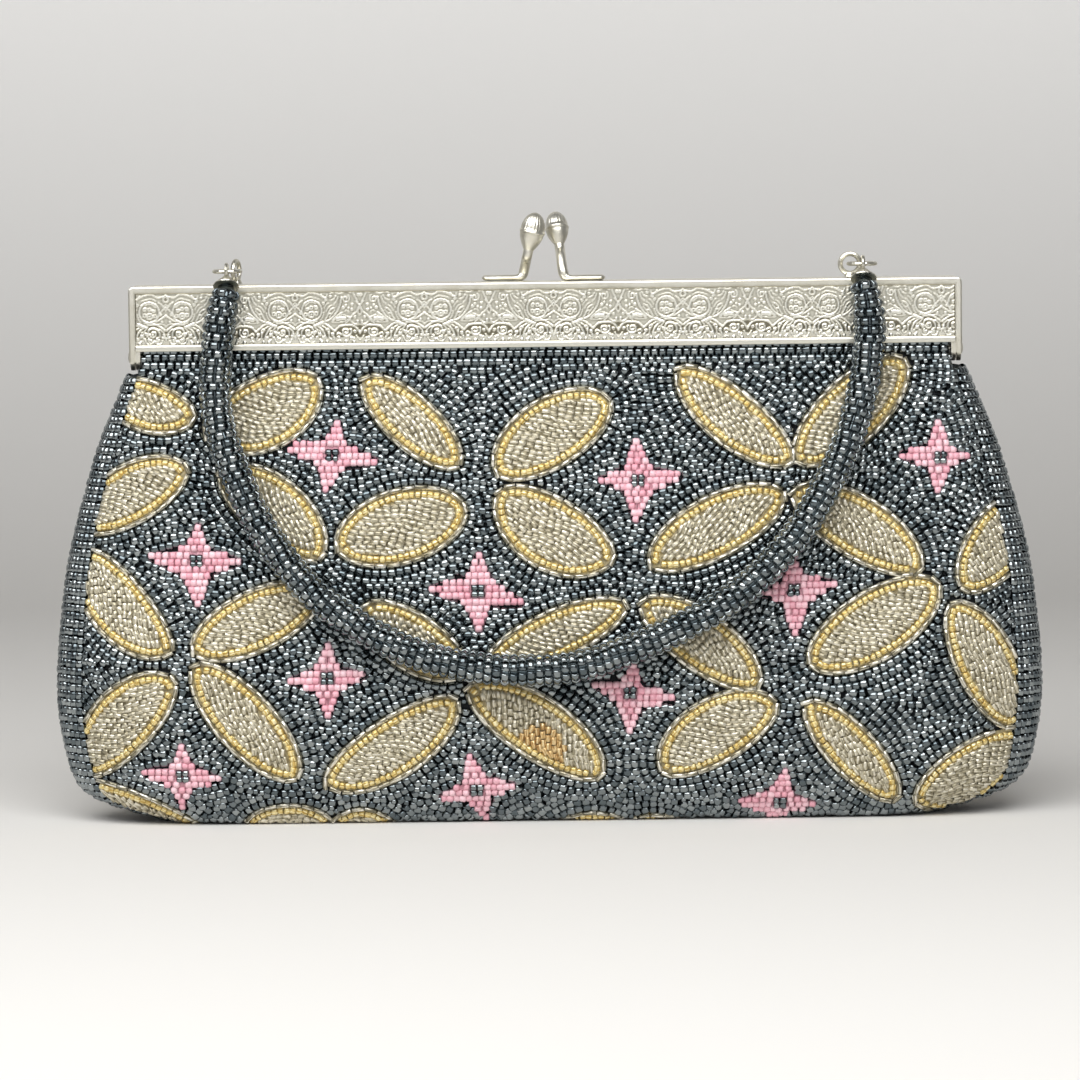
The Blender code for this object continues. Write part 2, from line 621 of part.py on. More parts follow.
def make_axis(name, point):
    """An empty on a joint's axis, which its moving pieces follow."""
    axis = bpy.data.objects.new(name, None)
    axis.location = point
    bpy.context.scene.collection.objects.link(axis)
    return axis


def attach(piece, axis):
    """Parent a piece to its joint's empty without moving the piece."""
    where = Matrix.Translation(piece.location)
    total = Vector((0.0, 0.0, 0.0))
    above = axis
    while above:
        total += above.location
        above = above.parent
    piece.parent = axis
    piece.matrix_parent_inverse = Matrix.Translation(-total)
    piece.location = where.translation


def share_at(table, place):
    """Read a table of (place, value) shares with smooth steps between its rows."""
    if place <= table[0][0]:
        return table[0][1]
    for i in range(len(table) - 1):
        (a, low), (b, high) = table[i], table[i + 1]
        if place <= b:
            t = (place - a) / (b - a)
            before = table[max(i - 1, 0)]
            after = table[min(i + 2, len(table) - 1)]
            slope_a = (high - before[1]) / (b - before[0]) * (b - a)
            slope_b = (after[1] - low) / (after[0] - a) * (b - a)
            return ((2 * t ** 3 - 3 * t ** 2 + 1) * low + (t ** 3 - 2 * t ** 2 + t) * slope_a
                    + (3 * t ** 2 - 2 * t ** 3) * high + (t ** 3 - t ** 2) * slope_b)
    return table[-1][1]


def section(z, inset):
    """Half width, half depth, corner reach and crown of the body at a height, in by a wall."""
    width_share = share_at(WIDTH_SHARES, z / HINGE_Z)
    depth_share = share_at(DEPTH_SHARES, z / HINGE_Z)
    tuck = BASE_TUCK * share_at(TUCK_SHARES, z / HINGE_Z)
    half_width = NECK_HALF_WIDTH + (BODY_WIDTH / 2 - NECK_HALF_WIDTH) * width_share - tuck - inset
    half_depth = NECK_HALF_DEPTH + (BODY_DEPTH / 2 - NECK_HALF_DEPTH) * depth_share - inset
    reach = NECK_CORNER_REACH + (BELLY_CORNER_REACH - NECK_CORNER_REACH) * depth_share - inset
    return half_width, half_depth, max(reach, NECK_CORNER_REACH / 4), CROWN_SHARE * depth_share


def seam_x(z):
    """Half the distance between the side seams at a height."""
    share = share_at(DEPTH_SHARES, z / HINGE_Z)
    inset = NECK_SEAM_INSET + (BELLY_SEAM_INSET - NECK_SEAM_INSET) * share
    return section(z, 0.0)[0] - inset


def gusset_edge(z):
    """Where the gusset starts: the seam moved out square to its own slope."""
    return max(seam_x(z), seam_x(z + SEAM_GAP)) + SEAM_GAP


def panel_depth(x, z, inset):
    """Distance from the middle plane to the front or rear sheet at a place."""
    half_width, half_depth, reach, crown = section(z, inset)
    crown = 1 - crown * (x / half_width) ** 2
    u = min(1.0, max(0.0, (abs(x) - half_width + reach) / reach))
    return half_depth * crown * math.sqrt(max(0.0, 1 - u ** CORNER_POWER))


def side_point(z, inset, share):
    """A point on the end of a section, share 0 at the front seam and 1 at the rear seam."""
    half_width, half_depth, reach, _ = section(z, inset)
    edge = min(max((gusset_edge(z) - half_width + reach) / reach, 0.0), 1.0)
    first = math.asin(edge ** (CORNER_POWER / 2))
    angle = first + (math.pi - 2 * first) * share
    x = half_width - reach + reach * (math.sin(angle) ** 2) ** (1 / CORNER_POWER)
    y = panel_depth(x, z, inset)
    return x, -y if share < 0.5 else y


def sheet_shape(outer, inner):
    """Close a sheet between two grids of points that match row by row."""
    bm = bmesh.new()
    skins = []
    for grid in (outer, inner):
        skins.append([[bm.verts.new(point) for point in row] for row in grid])
    rows, columns = len(outer), len(outer[0])
    for skin, turned in zip(skins, (False, True)):
        for i in range(rows - 1):
            for j in range(columns - 1):
                corners = [skin[i][j], skin[i][j + 1], skin[i + 1][j + 1], skin[i + 1][j]]
                bm.faces.new(reversed(corners) if turned else corners)
    top, under = skins
    rim = [(0, j) for j in range(columns)] + [(i, columns - 1) for i in range(1, rows)]
    rim += [(rows - 1, j) for j in range(columns - 2, -1, -1)] + [(i, 0) for i in range(rows - 2, 0, -1)]
    for (a, b), (c, d) in zip(rim, rim[1:] + rim[:1]):
        bm.faces.new((top[c][d], top[a][b], under[a][b], under[c][d]))
    bmesh.ops.remove_doubles(bm, verts=bm.verts, dist=CLOSE)
    bmesh.ops.dissolve_degenerate(bm, edges=bm.edges, dist=CLOSE)
    return bm


def heights(low, high, shares=ROW_SHARES):
    return [low + (high - low) * share for share in shares]


def column_shares(count):
    """Places across a sheet from -1 to 1, closer together towards its rounded ends."""
    return [math.sin(math.pi * (i / count - 0.5)) for i in range(count + 1)]


def panel_row(z, side, inset, columns):
    """One row of the front (side -1) or rear (side 1) sheet."""
    reach = seam_x(z)
    row = []
    for share in column_shares(columns):
        x = share * reach
        row.append((x, side * panel_depth(x, z, inset), z))
    return row


def tongue_rows(side, outer_skin):
    """Rows of the cloth's upper edge, which goes up between plate and strip."""
    face = HALF_DEPTH - SHEET - GAP
    depth = face if outer_skin else face - TONGUE_CLOTH
    reach = HALF_WIDTH - LEG_FLANGE - GAP
    rows = []
    for z in (PLATE_Z - GAP, PLATE_Z + TONGUE_HEIGHT):
        rows.append([(share * reach, side * depth, z) for share in column_shares(PANEL_COLUMNS)])
    return rows


def neck_rows(side, low_z, inset):
    """Rows from a height up to just under the plate."""
    rows = []
    for z in heights(low_z, PLATE_Z - GAP, NECK_ROW_SHARES):
        row = panel_row(min(z, HINGE_Z), side, inset, PANEL_COLUMNS)
        reach = min(seam_x(min(z, HINGE_Z)), HALF_WIDTH - LEG_FLANGE - GAP)
        scale = reach / seam_x(min(z, HINGE_Z))
        rows.append([(x * scale, y, z) for x, y, _ in row])
    return rows


def make_main_panel(name):
    """Front, base and rear of the beaded body in one strip, below the rear half's sweep."""
    skins = []
    for inset, outer_skin in ((0.0, True), (CLOTH, False)):
        def level(z):
            return inset + z * (1 - inset / REAR_CUT_Z)
        front = [panel_row(level(z), -1, inset, PANEL_COLUMNS) for z in heights(0.0, REAR_CUT_Z)]
        rear = [panel_row(level(z), 1, inset, PANEL_COLUMNS) for z in heights(0.0, REAR_CUT_Z)]
        base = []
        for share in BASE_ROW_SHARES:
            base.append([(x, y * -share, z) for x, y, z in front[0]])
        top = neck_rows(-1, REAR_CUT_Z, inset)[1:] + tongue_rows(-1, outer_skin)
        skins.append(top[::-1] + front[::-1] + base + rear)
    return place_mesh(name, sheet_shape(*skins), BEADWORK)


def make_rear_top(name):
    """The rear cloth between the body and the rear plate, which follows the rear half."""
    skins = []
    for inset, outer_skin in ((0.0, True), (CLOTH, False)):
        rows = neck_rows(1, REAR_CUT_Z + GAP, inset) + tongue_rows(1, outer_skin)
        skins.append(rows)
    return place_mesh(name, sheet_shape(*skins), BEADWORK)


def gusset_rows(side, low_z, high_z, inset, shares):
    rows = []
    for z in heights(low_z, high_z, shares):
        level = inset + z * (1 - inset / REAR_CUT_Z) if low_z == 0.0 else z
        row = []
        for i in range(GUSSET_COLUMNS + 1):
            x, y = side_point(level, inset, i / GUSSET_COLUMNS)
            row.append((side * x, y, level))
        rows.append(row)
    return rows


def make_gusset(name, side):
    """Plain beaded side of the body, closed under its lower end."""
    skins = []
    for inset in (0.0, CLOTH):
        rows = gusset_rows(side, 0.0, REAR_CUT_Z, inset, ROW_SHARES)
        edge = side * gusset_edge(inset)
        rows.insert(0, [(edge, y * (1 - CROWN_SHARE), z) for x, y, z in rows[0]])
        skins.append(rows)
    return place_mesh(name, sheet_shape(*skins), BEADWORK)


def make_gusset_top(name, side):
    """Folded upper end of a gusset, between the legs of the two halves."""
    skins = []
    for inset in (0.0, CLOTH):
        skins.append(gusset_rows(side, REAR_CUT_Z + GAP, GUSSET_TOP_Z, inset, GUSSET_TOP_ROW_SHARES))
    return place_mesh(name, sheet_shape(*skins), BEADWORK)


def lining_ring(z, inset):
    """A closed ring of lining points at a height: front, right side, rear, left side."""
    half_width, half_depth, reach, _ = section(z, inset)
    inner = half_width - reach
    ring = []
    for share in column_shares(LINING_COLUMNS):
        x = share * inner
        ring.append((x, -panel_depth(x, z, inset), z))
    corners = []
    for i in range(1, 2 * LINING_SIDE_COLUMNS):
        angle = math.pi * i / (2 * LINING_SIDE_COLUMNS)
        x = inner + reach * (math.sin(angle) ** 2) ** (1 / CORNER_POWER)
        corners.append((x, math.copysign(panel_depth(x, z, inset), -math.cos(angle)), z))
    ring += corners
    for share in reversed(column_shares(LINING_COLUMNS)):
        x = share * inner
        ring.append((x, panel_depth(x, z, inset), z))
    ring += [(-x, y, z) for x, y, z in reversed(corners)]
    return ring


def make_lining(name):
    """Satin bag that hangs loosely inside the cloth, open just below the frame's sweep."""
    bm = bmesh.new()
    skins = []
    for inset in (CLOTH + LINING_EASE, CLOTH + LINING_EASE + LINING):
        rings = []
        for z in heights(0.0, REAR_CUT_Z, LINING_ROW_SHARES):
            level = inset + z * (1 - inset / REAR_CUT_Z)
            rings.append([bm.verts.new(point) for point in lining_ring(level, inset)])
        skins.append(rings)
    outer, inner = skins
    count = len(outer[0])
    for skin, turned in ((outer, False), (inner, True)):
        for lower, upper in zip(skin, skin[1:]):
            for i in range(count):
                j = (i + 1) % count
                corners = [lower[i], lower[j], upper[j], upper[i]]
                bm.faces.new(reversed(corners) if turned else corners)
    bm.faces.new(reversed(outer[0]))
    bm.faces.new(inner[0])
    for i in range(count):
        j = (i + 1) % count
        bm.faces.new((outer[-1][i], outer[-1][j], inner[-1][j], inner[-1][i]))
    return place_mesh(name, bm, SATIN)


def build():
    clear_scene()
    front = make_frame_half("front_frame", -1)
    add_front_lugs(front)
    rear_axis = make_axis("rear_frame_axis", (0.0, 0.0, HINGE_Z))
    rear = make_frame_half("rear_frame", 1)
    add_rear_lugs(rear)
    make_inner_strip("front_inner_strip", -1)
    rear_strip = make_inner_strip("rear_inner_strip", 1)
    make_clasp_arm("front_clasp_arm", 1, -1, front)
    rear_arm = make_clasp_arm("rear_clasp_arm", -1, 1, rear)
    make_knob("front_clasp_knob", 1, -1)
    rear_knob = make_knob("rear_clasp_knob", -1, 1)
    rear_cloth = make_rear_top("rear_panel_top")
    for piece in (rear, rear_strip, rear_arm, rear_knob, rear_cloth):
        attach(piece, rear_axis)

    rings_axis = make_axis("rings_axis", (0.0, EYELET_Y, EYELET_Z))
    handle_axis = make_axis("handle_axis", HANDLE_AXIS - rings_axis.location)
    handle_axis.parent = rings_axis
    for side, word in ((-1, "left"), (1, "right")):
        make_hinge_rivet("hinge_rivet_" + word, side)
        make_eyelet("eyelet_" + word, side, front)
        make_jump_ring("jump_ring_" + word, side, rings_axis)
        make_cap("handle_cap_" + word, side, handle_axis)
        make_gusset("gusset_" + word, side)
        make_gusset_top("gusset_top_" + word, side)
    make_rope("handle_rope", handle_axis)
    make_main_panel("main_panel")
    make_lining("lining")


build()
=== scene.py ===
"""Beaded evening clutch: beads, cloth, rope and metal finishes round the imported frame.

Metres, +Z up, -Y is the front and +X is the right side seen from the front.
"""
import json
import math
import random

import bmesh
import bpy
import numpy as np
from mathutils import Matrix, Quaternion, Vector
from mathutils.bvhtree import BVHTree
from mathutils.kdtree import KDTree


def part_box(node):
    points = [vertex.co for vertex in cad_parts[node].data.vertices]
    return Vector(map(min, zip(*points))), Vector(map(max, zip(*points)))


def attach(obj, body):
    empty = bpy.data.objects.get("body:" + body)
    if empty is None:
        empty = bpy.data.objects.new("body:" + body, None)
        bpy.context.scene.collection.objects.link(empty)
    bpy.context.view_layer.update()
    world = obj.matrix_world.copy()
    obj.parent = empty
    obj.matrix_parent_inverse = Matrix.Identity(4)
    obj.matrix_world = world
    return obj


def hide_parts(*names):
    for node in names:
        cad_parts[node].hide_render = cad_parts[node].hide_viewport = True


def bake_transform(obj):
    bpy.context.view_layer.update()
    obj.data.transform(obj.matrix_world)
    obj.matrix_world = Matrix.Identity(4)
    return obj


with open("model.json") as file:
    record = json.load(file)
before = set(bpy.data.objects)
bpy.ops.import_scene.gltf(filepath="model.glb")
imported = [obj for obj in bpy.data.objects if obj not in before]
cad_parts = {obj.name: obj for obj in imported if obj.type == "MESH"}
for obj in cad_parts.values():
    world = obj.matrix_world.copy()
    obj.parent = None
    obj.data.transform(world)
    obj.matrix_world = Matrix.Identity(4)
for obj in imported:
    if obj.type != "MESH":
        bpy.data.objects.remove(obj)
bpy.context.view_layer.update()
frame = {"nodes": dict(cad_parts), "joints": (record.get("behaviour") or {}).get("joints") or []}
NODES = frame["nodes"]
SEED = 7

# Camera: the photograph is 1080 pixels square, and covers this width at the bag's middle plane
PHOTO_PIXELS = 1080
VIEW_WIDTH = 0.2592
VIEW_CENTRE = Vector((-0.0019, 0.0, 0.0662))
VIEW_ELEVATION = math.radians(5.0)
VIEW_ROLL = math.radians(0.7)
LENS_MM = 150.0
SENSOR_MM = 36.0
VIEW_DISTANCE = VIEW_WIDTH * LENS_MM / SENSOR_MM


def add_camera():
    """The camera, with its place, right and up directions and its view direction."""
    back = Vector((0.0, -math.cos(VIEW_ELEVATION), math.sin(VIEW_ELEVATION)))
    data = bpy.data.cameras.new("camera")
    data.lens = LENS_MM
    data.sensor_width = SENSOR_MM
    data.clip_start = VIEW_DISTANCE / 100
    data.clip_end = VIEW_DISTANCE * 100
    camera = bpy.data.objects.new("camera", data)
    bpy.context.scene.collection.objects.link(camera)
    camera.location = VIEW_CENTRE + back * VIEW_DISTANCE
    camera.rotation_mode = "QUATERNION"
    level = (-back).to_track_quat("-Z", "Y")
    camera.rotation_quaternion = level @ Quaternion((0.0, 0.0, 1.0), -VIEW_ROLL)
    bpy.context.scene.camera = camera
    bpy.context.view_layer.update()
    axes = camera.matrix_world.to_3x3()
    return camera.location.copy(), axes.col[0].copy(), axes.col[1].copy(), -axes.col[2]


camera_place, camera_right, camera_up, camera_forward = add_camera()


def photo_ray(px, py):
    """Direction from the camera through a pixel of the photograph."""
    scale = VIEW_WIDTH / PHOTO_PIXELS
    right = (px - PHOTO_PIXELS / 2) * scale
    up = (PHOTO_PIXELS / 2 - py) * scale
    return (camera_forward * VIEW_DISTANCE + camera_right * right + camera_up * up).normalized()


# Beads: seed beads of the ground, cut beads of the leaf fill, gold rows, pink flowers and bugles
BEAD_DIAMETER, BEAD_LENGTH, BEAD_PITCH, ROW_PITCH = 0.00236, 0.00200, 0.00190, 0.00202
FILL_DIAMETER, FILL_LENGTH, FILL_PITCH, FILL_ROW_PITCH = 0.00146, 0.00190, 0.00186, 0.00118
GOLD_DIAMETER, GOLD_LENGTH, GOLD_PITCH = 0.00190, 0.00150, 0.00146
PINK_DIAMETER, PINK_LENGTH, PINK_PITCH, PINK_ROW_PITCH = 0.00184, 0.00160, 0.00154, 0.00158
BUGLE_DIAMETER, BUGLE_LENGTH, BUGLE_PITCH = 0.00132, 0.00290, 0.00300
LENGTH_OF = {BEAD_DIAMETER: BEAD_LENGTH, FILL_DIAMETER: FILL_LENGTH, GOLD_DIAMETER: GOLD_LENGTH,
             PINK_DIAMETER: PINK_LENGTH, BUGLE_DIAMETER: BUGLE_LENGTH}
# Sides round a bead, its hole by its diameter, and how much of its length isn't rounded off
BEAD_SIDES, CUT_SIDES = 7, 6
HOLE_SHARE = 0.50
CORNER_SHARE, CUT_CORNER_SHARE, BUGLE_CORNER_SHARE = 0.56, 0.94, 0.96
# How much beads differ in size, length, tilt and depth. Their turn in the row differs less than their tilt
SIZE_SPREAD, LENGTH_SPREAD = 0.05, 0.10
TILT_SPREAD, CUT_TILT = 0.14, 0.12
TURN_SHARE = 0.6
SINK_SPREAD = 0.00016
# Straight rows of beads under the frame, and rows round each motif
TOP_ROWS, TOP_START, TOP_PITCH = 2, 0.0015, 0.00195
CONTOUR_ROWS = 5
# Distances between ground beads, and from them to outlines and seams, as shares of the row pitch
CLOSEST_SHARE, FILL_GAP_SHARE, GAP_SHARE = 0.74, 0.80, 0.73
EDGE_SHARE, NEAR_SHARE, GAP_DEPTH_SHARE = 0.50, 0.45, 0.42
SLIT_SEAM_SHARE, SLIT_DEPTH_SHARE, SLIT_GAP_SHARE = 0.30, 0.25, 0.64
SIDE_MIDDLE_SHARE = 0.20
# Steps in a row pitch when gaps are searched
GAP_STEPS = 5
# In the motifs: distances between beads by their pitch, and how deep the fill lies by its diameter
GOLD_GAP_SHARE, FILL_ROW_GAP, FILL_SPOT_GAP, PINK_ROW_GAP, PINK_SPOT_GAP = 0.70, 0.80, 0.95, 0.80, 0.84
FILL_DEPTH_SHARE, PINK_DEPTH_SHARE = 0.10, 0.25
# A run takes one more bead where this much of a pitch is left, and starts this much of a pitch in
LAST_BEAD_SHARE, RUN_MARGIN_SHARE = 0.75, 0.35
# Cells in which neighbouring beads are looked up, larger than any distance kept between them
BEAD_CELL = 0.003

# Body: the cloth's and the satin facing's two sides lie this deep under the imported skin
CLOTH_DEPTHS, FACING_DEPTHS = (0.0013, 0.0019), (0.0027, 0.0030)
FACING_OVERLAP = 0.006
LEVEL_STEP = 0.0015
SMOOTHING = 0.006
GRID_STEP = 0.001
RING_STEPS = 160
CORNER_POWER = 2.4
CROWN_SHARE = 0.06
NECK_DEPTH, BELLY_DEPTH = 0.0064, 0.0197
NECK_REACH, BELLY_REACH = 0.0030, 0.0400
NECK_SEAM_INSET, BELLY_SEAM_INSET = 0.0027, 0.0065
PLATE_UNDERSIDE = 0.1140
HINGE_Z = next(joint for joint in frame["joints"] if joint["name"] == "frame_open")["pos_m"][2]
NECK_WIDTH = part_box("front_frame")[1].x - 0.0005

# Leaves by pixels of the photograph: first tip, second tip, swell above and below the line between
# them, and the slope of the fill rows in degrees, positive down to the right
LEAVES_PX = (
    (98, 385, 197, 418, 23, 32, 60), (203, 436, 321, 378, 31, 45, 10), (78, 530, 189, 466, 37, 26, 14),
    (219, 470, 323, 560, 40, 26, 66), (362, 376, 461, 467, 28, 28, 56), (494, 474, 612, 398, 41, 32, 8),
    (334, 548, 468, 507, 40, 38, 8), (496, 490, 615, 562, 29, 47, 30), (677, 366, 795, 463, 25, 34, 62),
    (795, 463, 907, 357, 33, 35, 4), (648, 566, 787, 492, 36, 30, -56), (791, 490, 923, 572, 37, 28, 66),
    (963, 592, 1035, 490, 31, 33, 62), (808, 666, 941, 582, 35, 38, 12), (952, 601, 1015, 730, 37, 28, 72),
    (914, 806, 1030, 733, 27, 31, -8), (86, 548, 173, 655, 19, 45, 80), (190, 653, 322, 590, 33, 32, 12),
    (84, 777, 175, 678, 44, 25, -8), (192, 664, 299, 781, 31, 32, 66), (363, 604, 468, 674, 26, 34, 60),
    (484, 668, 629, 604, 28, 26, 16), (323, 786, 459, 698, 25, 39, 10), (466, 686, 604, 778, 38, 28, 82),
    (640, 600, 761, 688, 34, 28, 64), (659, 773, 779, 702, 42, 27, 6), (805, 701, 899, 802, 27, 26, 66),
    (76, 779, 205, 835, 12, 40, 60), (243, 828, 335, 828, 23, 20, 8), (328, 832, 398, 838, 26, 20, 8),
    (556, 832, 630, 832, 19, 20, 8), (624, 834, 684, 834, 19, 20, 8),
)
AMBER_LEAF = 23
AMBER_PX = (541, 748, 24)
LEAF_FULLNESS = 0.53

# Flowers by pixels: middle, then the left, right, top and bottom tips
FLOWERS_PX = (
    (332, 455, 287, 447, 377, 461, 338, 420, 325, 492), (196, 561, 148, 557, 241, 562, 198, 524, 198, 607),
    (638, 480, 599, 479, 682, 476, 636, 438, 636, 522), (478, 591, 430, 589, 523, 604, 479, 552, 479, 632),
    (941, 457, 900, 454, 971, 456, 938, 419, 938, 493), (794, 590, 759, 594, 837, 583, 793, 554, 796, 636),
    (327, 679, 288, 682, 366, 676, 328, 643, 328, 719), (182, 778, 141, 774, 221, 781, 181, 745, 182, 811),
    (477, 792, 440, 798, 515, 786, 469, 755, 487, 822), (630, 693, 592, 683, 675, 700, 634, 662, 630, 734),
    (780, 805, 739, 803, 815, 805, 786, 770, 767, 830),
)
# A petal by its length: its blunt tip, its shoulders, and the waist between two petals
PETAL_TIP = 0.05
PETAL_SHOULDER = (0.60, 0.19)
FLOWER_WAIST_SHARE = 0.22
FLOWER_HEART = 0.0016
# Where the dark beads lie in a flower's middle and where its pink ones start, by the size of its heart
HEART_REACH, PINK_REACH = 0.70, 1.35
HEART_BEAD_SHARE, SLIT_BEAD_SHARE = 0.80, 0.64
SIDES = (("left", -1), ("right", 1))
PANEL_COLUMNS, SIDE_COLUMNS, BASE_LEVELS = 97, 14, 8
PANEL_SPLIT = 0.035
# Room between a motif's beads and the panel's seam
SEAM_GAP = 0.0006
# The fill's rows wave a little, by this much, over this length and shifted from row to row
FILL_WAVE, FILL_WAVE_LENGTH, FILL_WAVE_SHIFT = 0.0004, 0.014, 0.35
FILL_SKEW = math.radians(14.0)
# Cells of the grid that tells which motif covers a place
CELL = 0.00025
# How finely outlines are drawn
LEAF_STEPS = 32
OUTLINE_STEP = 0.0004
CORNER_STEP = math.radians(12.0)
# Lengths too short to have a direction, points that are the same, and room inside the skin's grid
TINY = 1e-12
MERGE_DISTANCE = 1e-6
ROOM_ACROSS, ROOM_DOWN = 1e-6, 1e-7
# A pixel's ray meets the skin after this many rounds, kept this share inside its outline
RAY_ROUNDS, OUTLINE_SHARE = 10, 0.999


def skin_of(*names):
    """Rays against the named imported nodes."""
    skin = bmesh.new()
    for name in names:
        skin.from_mesh(NODES[name].data)
    tree = BVHTree.FromBMesh(skin)
    skin.free()
    return tree


def measured_levels():
    """Heights of the body from the plates down to the base, with its half width and half depth there."""
    sides = skin_of("gusset_right", "gusset_top_right")
    sheets = skin_of("main_panel")
    heights = np.linspace(PLATE_UNDERSIDE, 0.0, round(PLATE_UNDERSIDE / LEVEL_STEP) + 1)
    widths, depths = [], []
    for z in heights:
        level = max(z, LEVEL_STEP / 8)
        wide = sides.ray_cast(Vector((1.0, 0.0, level)), Vector((-1.0, 0.0, 0.0)))[0]
        widths.append(wide.x if wide else widths[-1] if widths else None)
        deep = sheets.ray_cast(Vector((0.0, -1.0, level)), Vector((0.0, 1.0, 0.0)))[0]
        depths.append(-deep.y)
    top_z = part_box("gusset_top_right")[1].z
    top_wide = next(wide for wide in widths if wide)
    for i, z in enumerate(heights):
        if z > top_z:
            share = min(1.0, (z - top_z) / (HINGE_Z - top_z))
            widths[i] = top_wide + (NECK_WIDTH - top_wide) * share
    half = max(1, round(SMOOTHING / LEVEL_STEP / 2))

    def smooth(values):
        padded = [2 * values[0] - v for v in values[half:0:-1]] + values
        padded += [2 * values[-1] - v for v in values[-2:-half - 2:-1]]
        return np.convolve(padded, np.ones(2 * half + 1) / (2 * half + 1), "valid")

    return heights, smooth(widths), smooth(depths)


LEVEL_Z, LEVEL_WIDTH, LEVEL_DEPTH = measured_levels()


def down_at(z):
    """Distance down the skin of a height."""
    return float(np.interp(-z, -LEVEL_Z, DOWN[:len(LEVEL_Z)]))


def section_at(z):
    """Half width, half depth, corner reach, crown and seam inset of the body at a height."""
    width = np.interp(z, LEVEL_Z[::-1], LEVEL_WIDTH[::-1])
    depth = np.interp(z, LEVEL_Z[::-1], LEVEL_DEPTH[::-1])
    share = min(1.0, max(0.0, (depth - NECK_DEPTH) / (BELLY_DEPTH - NECK_DEPTH)))
    reach = NECK_REACH + (BELLY_REACH - NECK_REACH) * share
    inset = NECK_SEAM_INSET + (BELLY_SEAM_INSET - NECK_SEAM_INSET) * share
    return width, depth, reach, CROWN_SHARE * share, inset


def depth_at(x, z):
    """Distance of the front or rear skin from the middle plane."""
    width, depth, reach, crown, _ = section_at(z)
    u = np.clip((np.abs(x) - width + reach) / reach, 0.0, 1.0)
    return depth * (1 - crown * (x / width) ** 2) * np.sqrt(np.maximum(0.0, 1 - u ** CORNER_POWER))


def distances_along(line):
    """Distance of each point of a line from its start, along the line."""
    return np.concatenate([[0.0], np.cumsum(np.hypot(*np.diff(line, axis=0).T))])


def ring_points(z):
    """Places round a quarter of the body at a height, by distance along the skin from the middle."""
    width, depth, reach, crown, _ = section_at(z)
    inner = width - reach
    angles = np.linspace(0.0, math.pi / 2, RING_STEPS)
    x = np.concatenate([np.linspace(0.0, inner, RING_STEPS, endpoint=False),
                        inner + reach * (np.sin(angles) ** 2) ** (1 / CORNER_POWER)])
    y = np.concatenate([np.full(RING_STEPS, depth), depth * np.cos(angles)])
    y = y * (1 - crown * (x / width) ** 2)
    y[-1] = 0.0
    return distances_along(np.stack([x, y], axis=1)), x, y


def body_grid():
    """The skin of a front quarter: a grid over distance across (columns) and down (rows).

    Rows run down the front and then under the base to its middle line.
    """
    width_total = max(ring_points(z)[0][-1] for z in LEVEL_Z)
    across = np.arange(0.0, width_total + GRID_STEP, GRID_STEP)
    rows, down, seams, ends = [], [], [], []
    place = 0.0
    before = None
    for z, depth in zip(LEVEL_Z, LEVEL_DEPTH):
        along, x, y = ring_points(z)
        if before is not None:
            place += math.hypot(before[0] - z, before[1] - depth)
        before = (z, depth)
        width, _, _, _, inset = section_at(z)
        rows.append(np.stack([np.interp(across, along, x), -np.interp(across, along, y),
                              np.full(len(across), z)], axis=1))
        down.append(place)
        seams.append(np.interp(width - inset, x, along))
        ends.append(along[-1])
    edge = rows[-1]
    base_rows = max(2, math.ceil(before[1] / LEVEL_STEP))
    for i in range(1, base_rows + 1):
        share = 1 - i / base_rows
        rows.append(edge * np.array([1.0, share, 1.0]))
        down.append(place + before[1] * (1 - share))
        seams.append(seams[-1])
        ends.append(ends[-1])
    return across, np.array(down), np.array(rows), np.array(seams), np.array(ends), place


ACROSS, DOWN, SKIN, SEAM, RING_END, BASE_EDGE = body_grid()
BASE_MIDDLE = DOWN[-1]
SIDE_TOP = down_at(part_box("gusset_top_right")[1].z)


def seam_at(b):
    """Distance across from the middle to the seam, by distance down."""
    return np.interp(b, DOWN, SEAM)


def skin_point(a, b):
    """A point of the front skin by distance across from the middle and distance down."""
    side = -1.0 if a < 0 else 1.0
    i = min(abs(a), ACROSS[-1] - ROOM_ACROSS) / GRID_STEP
    column = int(i)
    u = i - column
    b = min(max(b, 0.0), BASE_MIDDLE - ROOM_DOWN)
    row = int(np.searchsorted(DOWN, b, side="right")) - 1
    v = (b - DOWN[row]) / (DOWN[row + 1] - DOWN[row])
    upper, lower = SKIN[row, column:column + 2], SKIN[row + 1, column:column + 2]
    point = (upper[0] * (1 - u) + upper[1] * u) * (1 - v) + (lower[0] * (1 - u) + lower[1] * u) * v
    return Vector((side * point[0], point[1], point[2]))


def skin_frame(a, b):
    """A point of the skin with the directions across, down and outwards there."""
    across = skin_point(a + GRID_STEP, b) - skin_point(a - GRID_STEP, b)
    down = skin_point(a, b + GRID_STEP) - skin_point(a, b - GRID_STEP)
    out = down.cross(across)
    if out.length < TINY:
        out = Vector((0.0, 0.0, -1.0))
    return skin_point(a, b), across.normalized(), down.normalized(), out.normalized()


def place_of_pixel(px, py):
    """Distances across and down of the front skin's point that a pixel of the photograph shows."""
    ray = photo_ray(px, py)
    y = -BELLY_DEPTH
    for _ in range(RAY_ROUNDS):
        hit = camera_place + ray * ((y - camera_place.y) / ray.y)
        z = max(hit.z, 0.0)
        width = section_at(z)[0]
        y = -float(depth_at(min(abs(hit.x), width * OUTLINE_SHARE), z))
    b = down_at(z) + max(0.0, -hit.z)
    row = int(np.argmin(np.abs(LEVEL_Z - z)))
    used = int(RING_END[row] / GRID_STEP)
    a = float(np.interp(abs(hit.x), SKIN[row, :used, 0], ACROSS[:used])) + max(0.0, abs(hit.x) - width)
    return math.copysign(a, hit.x), b


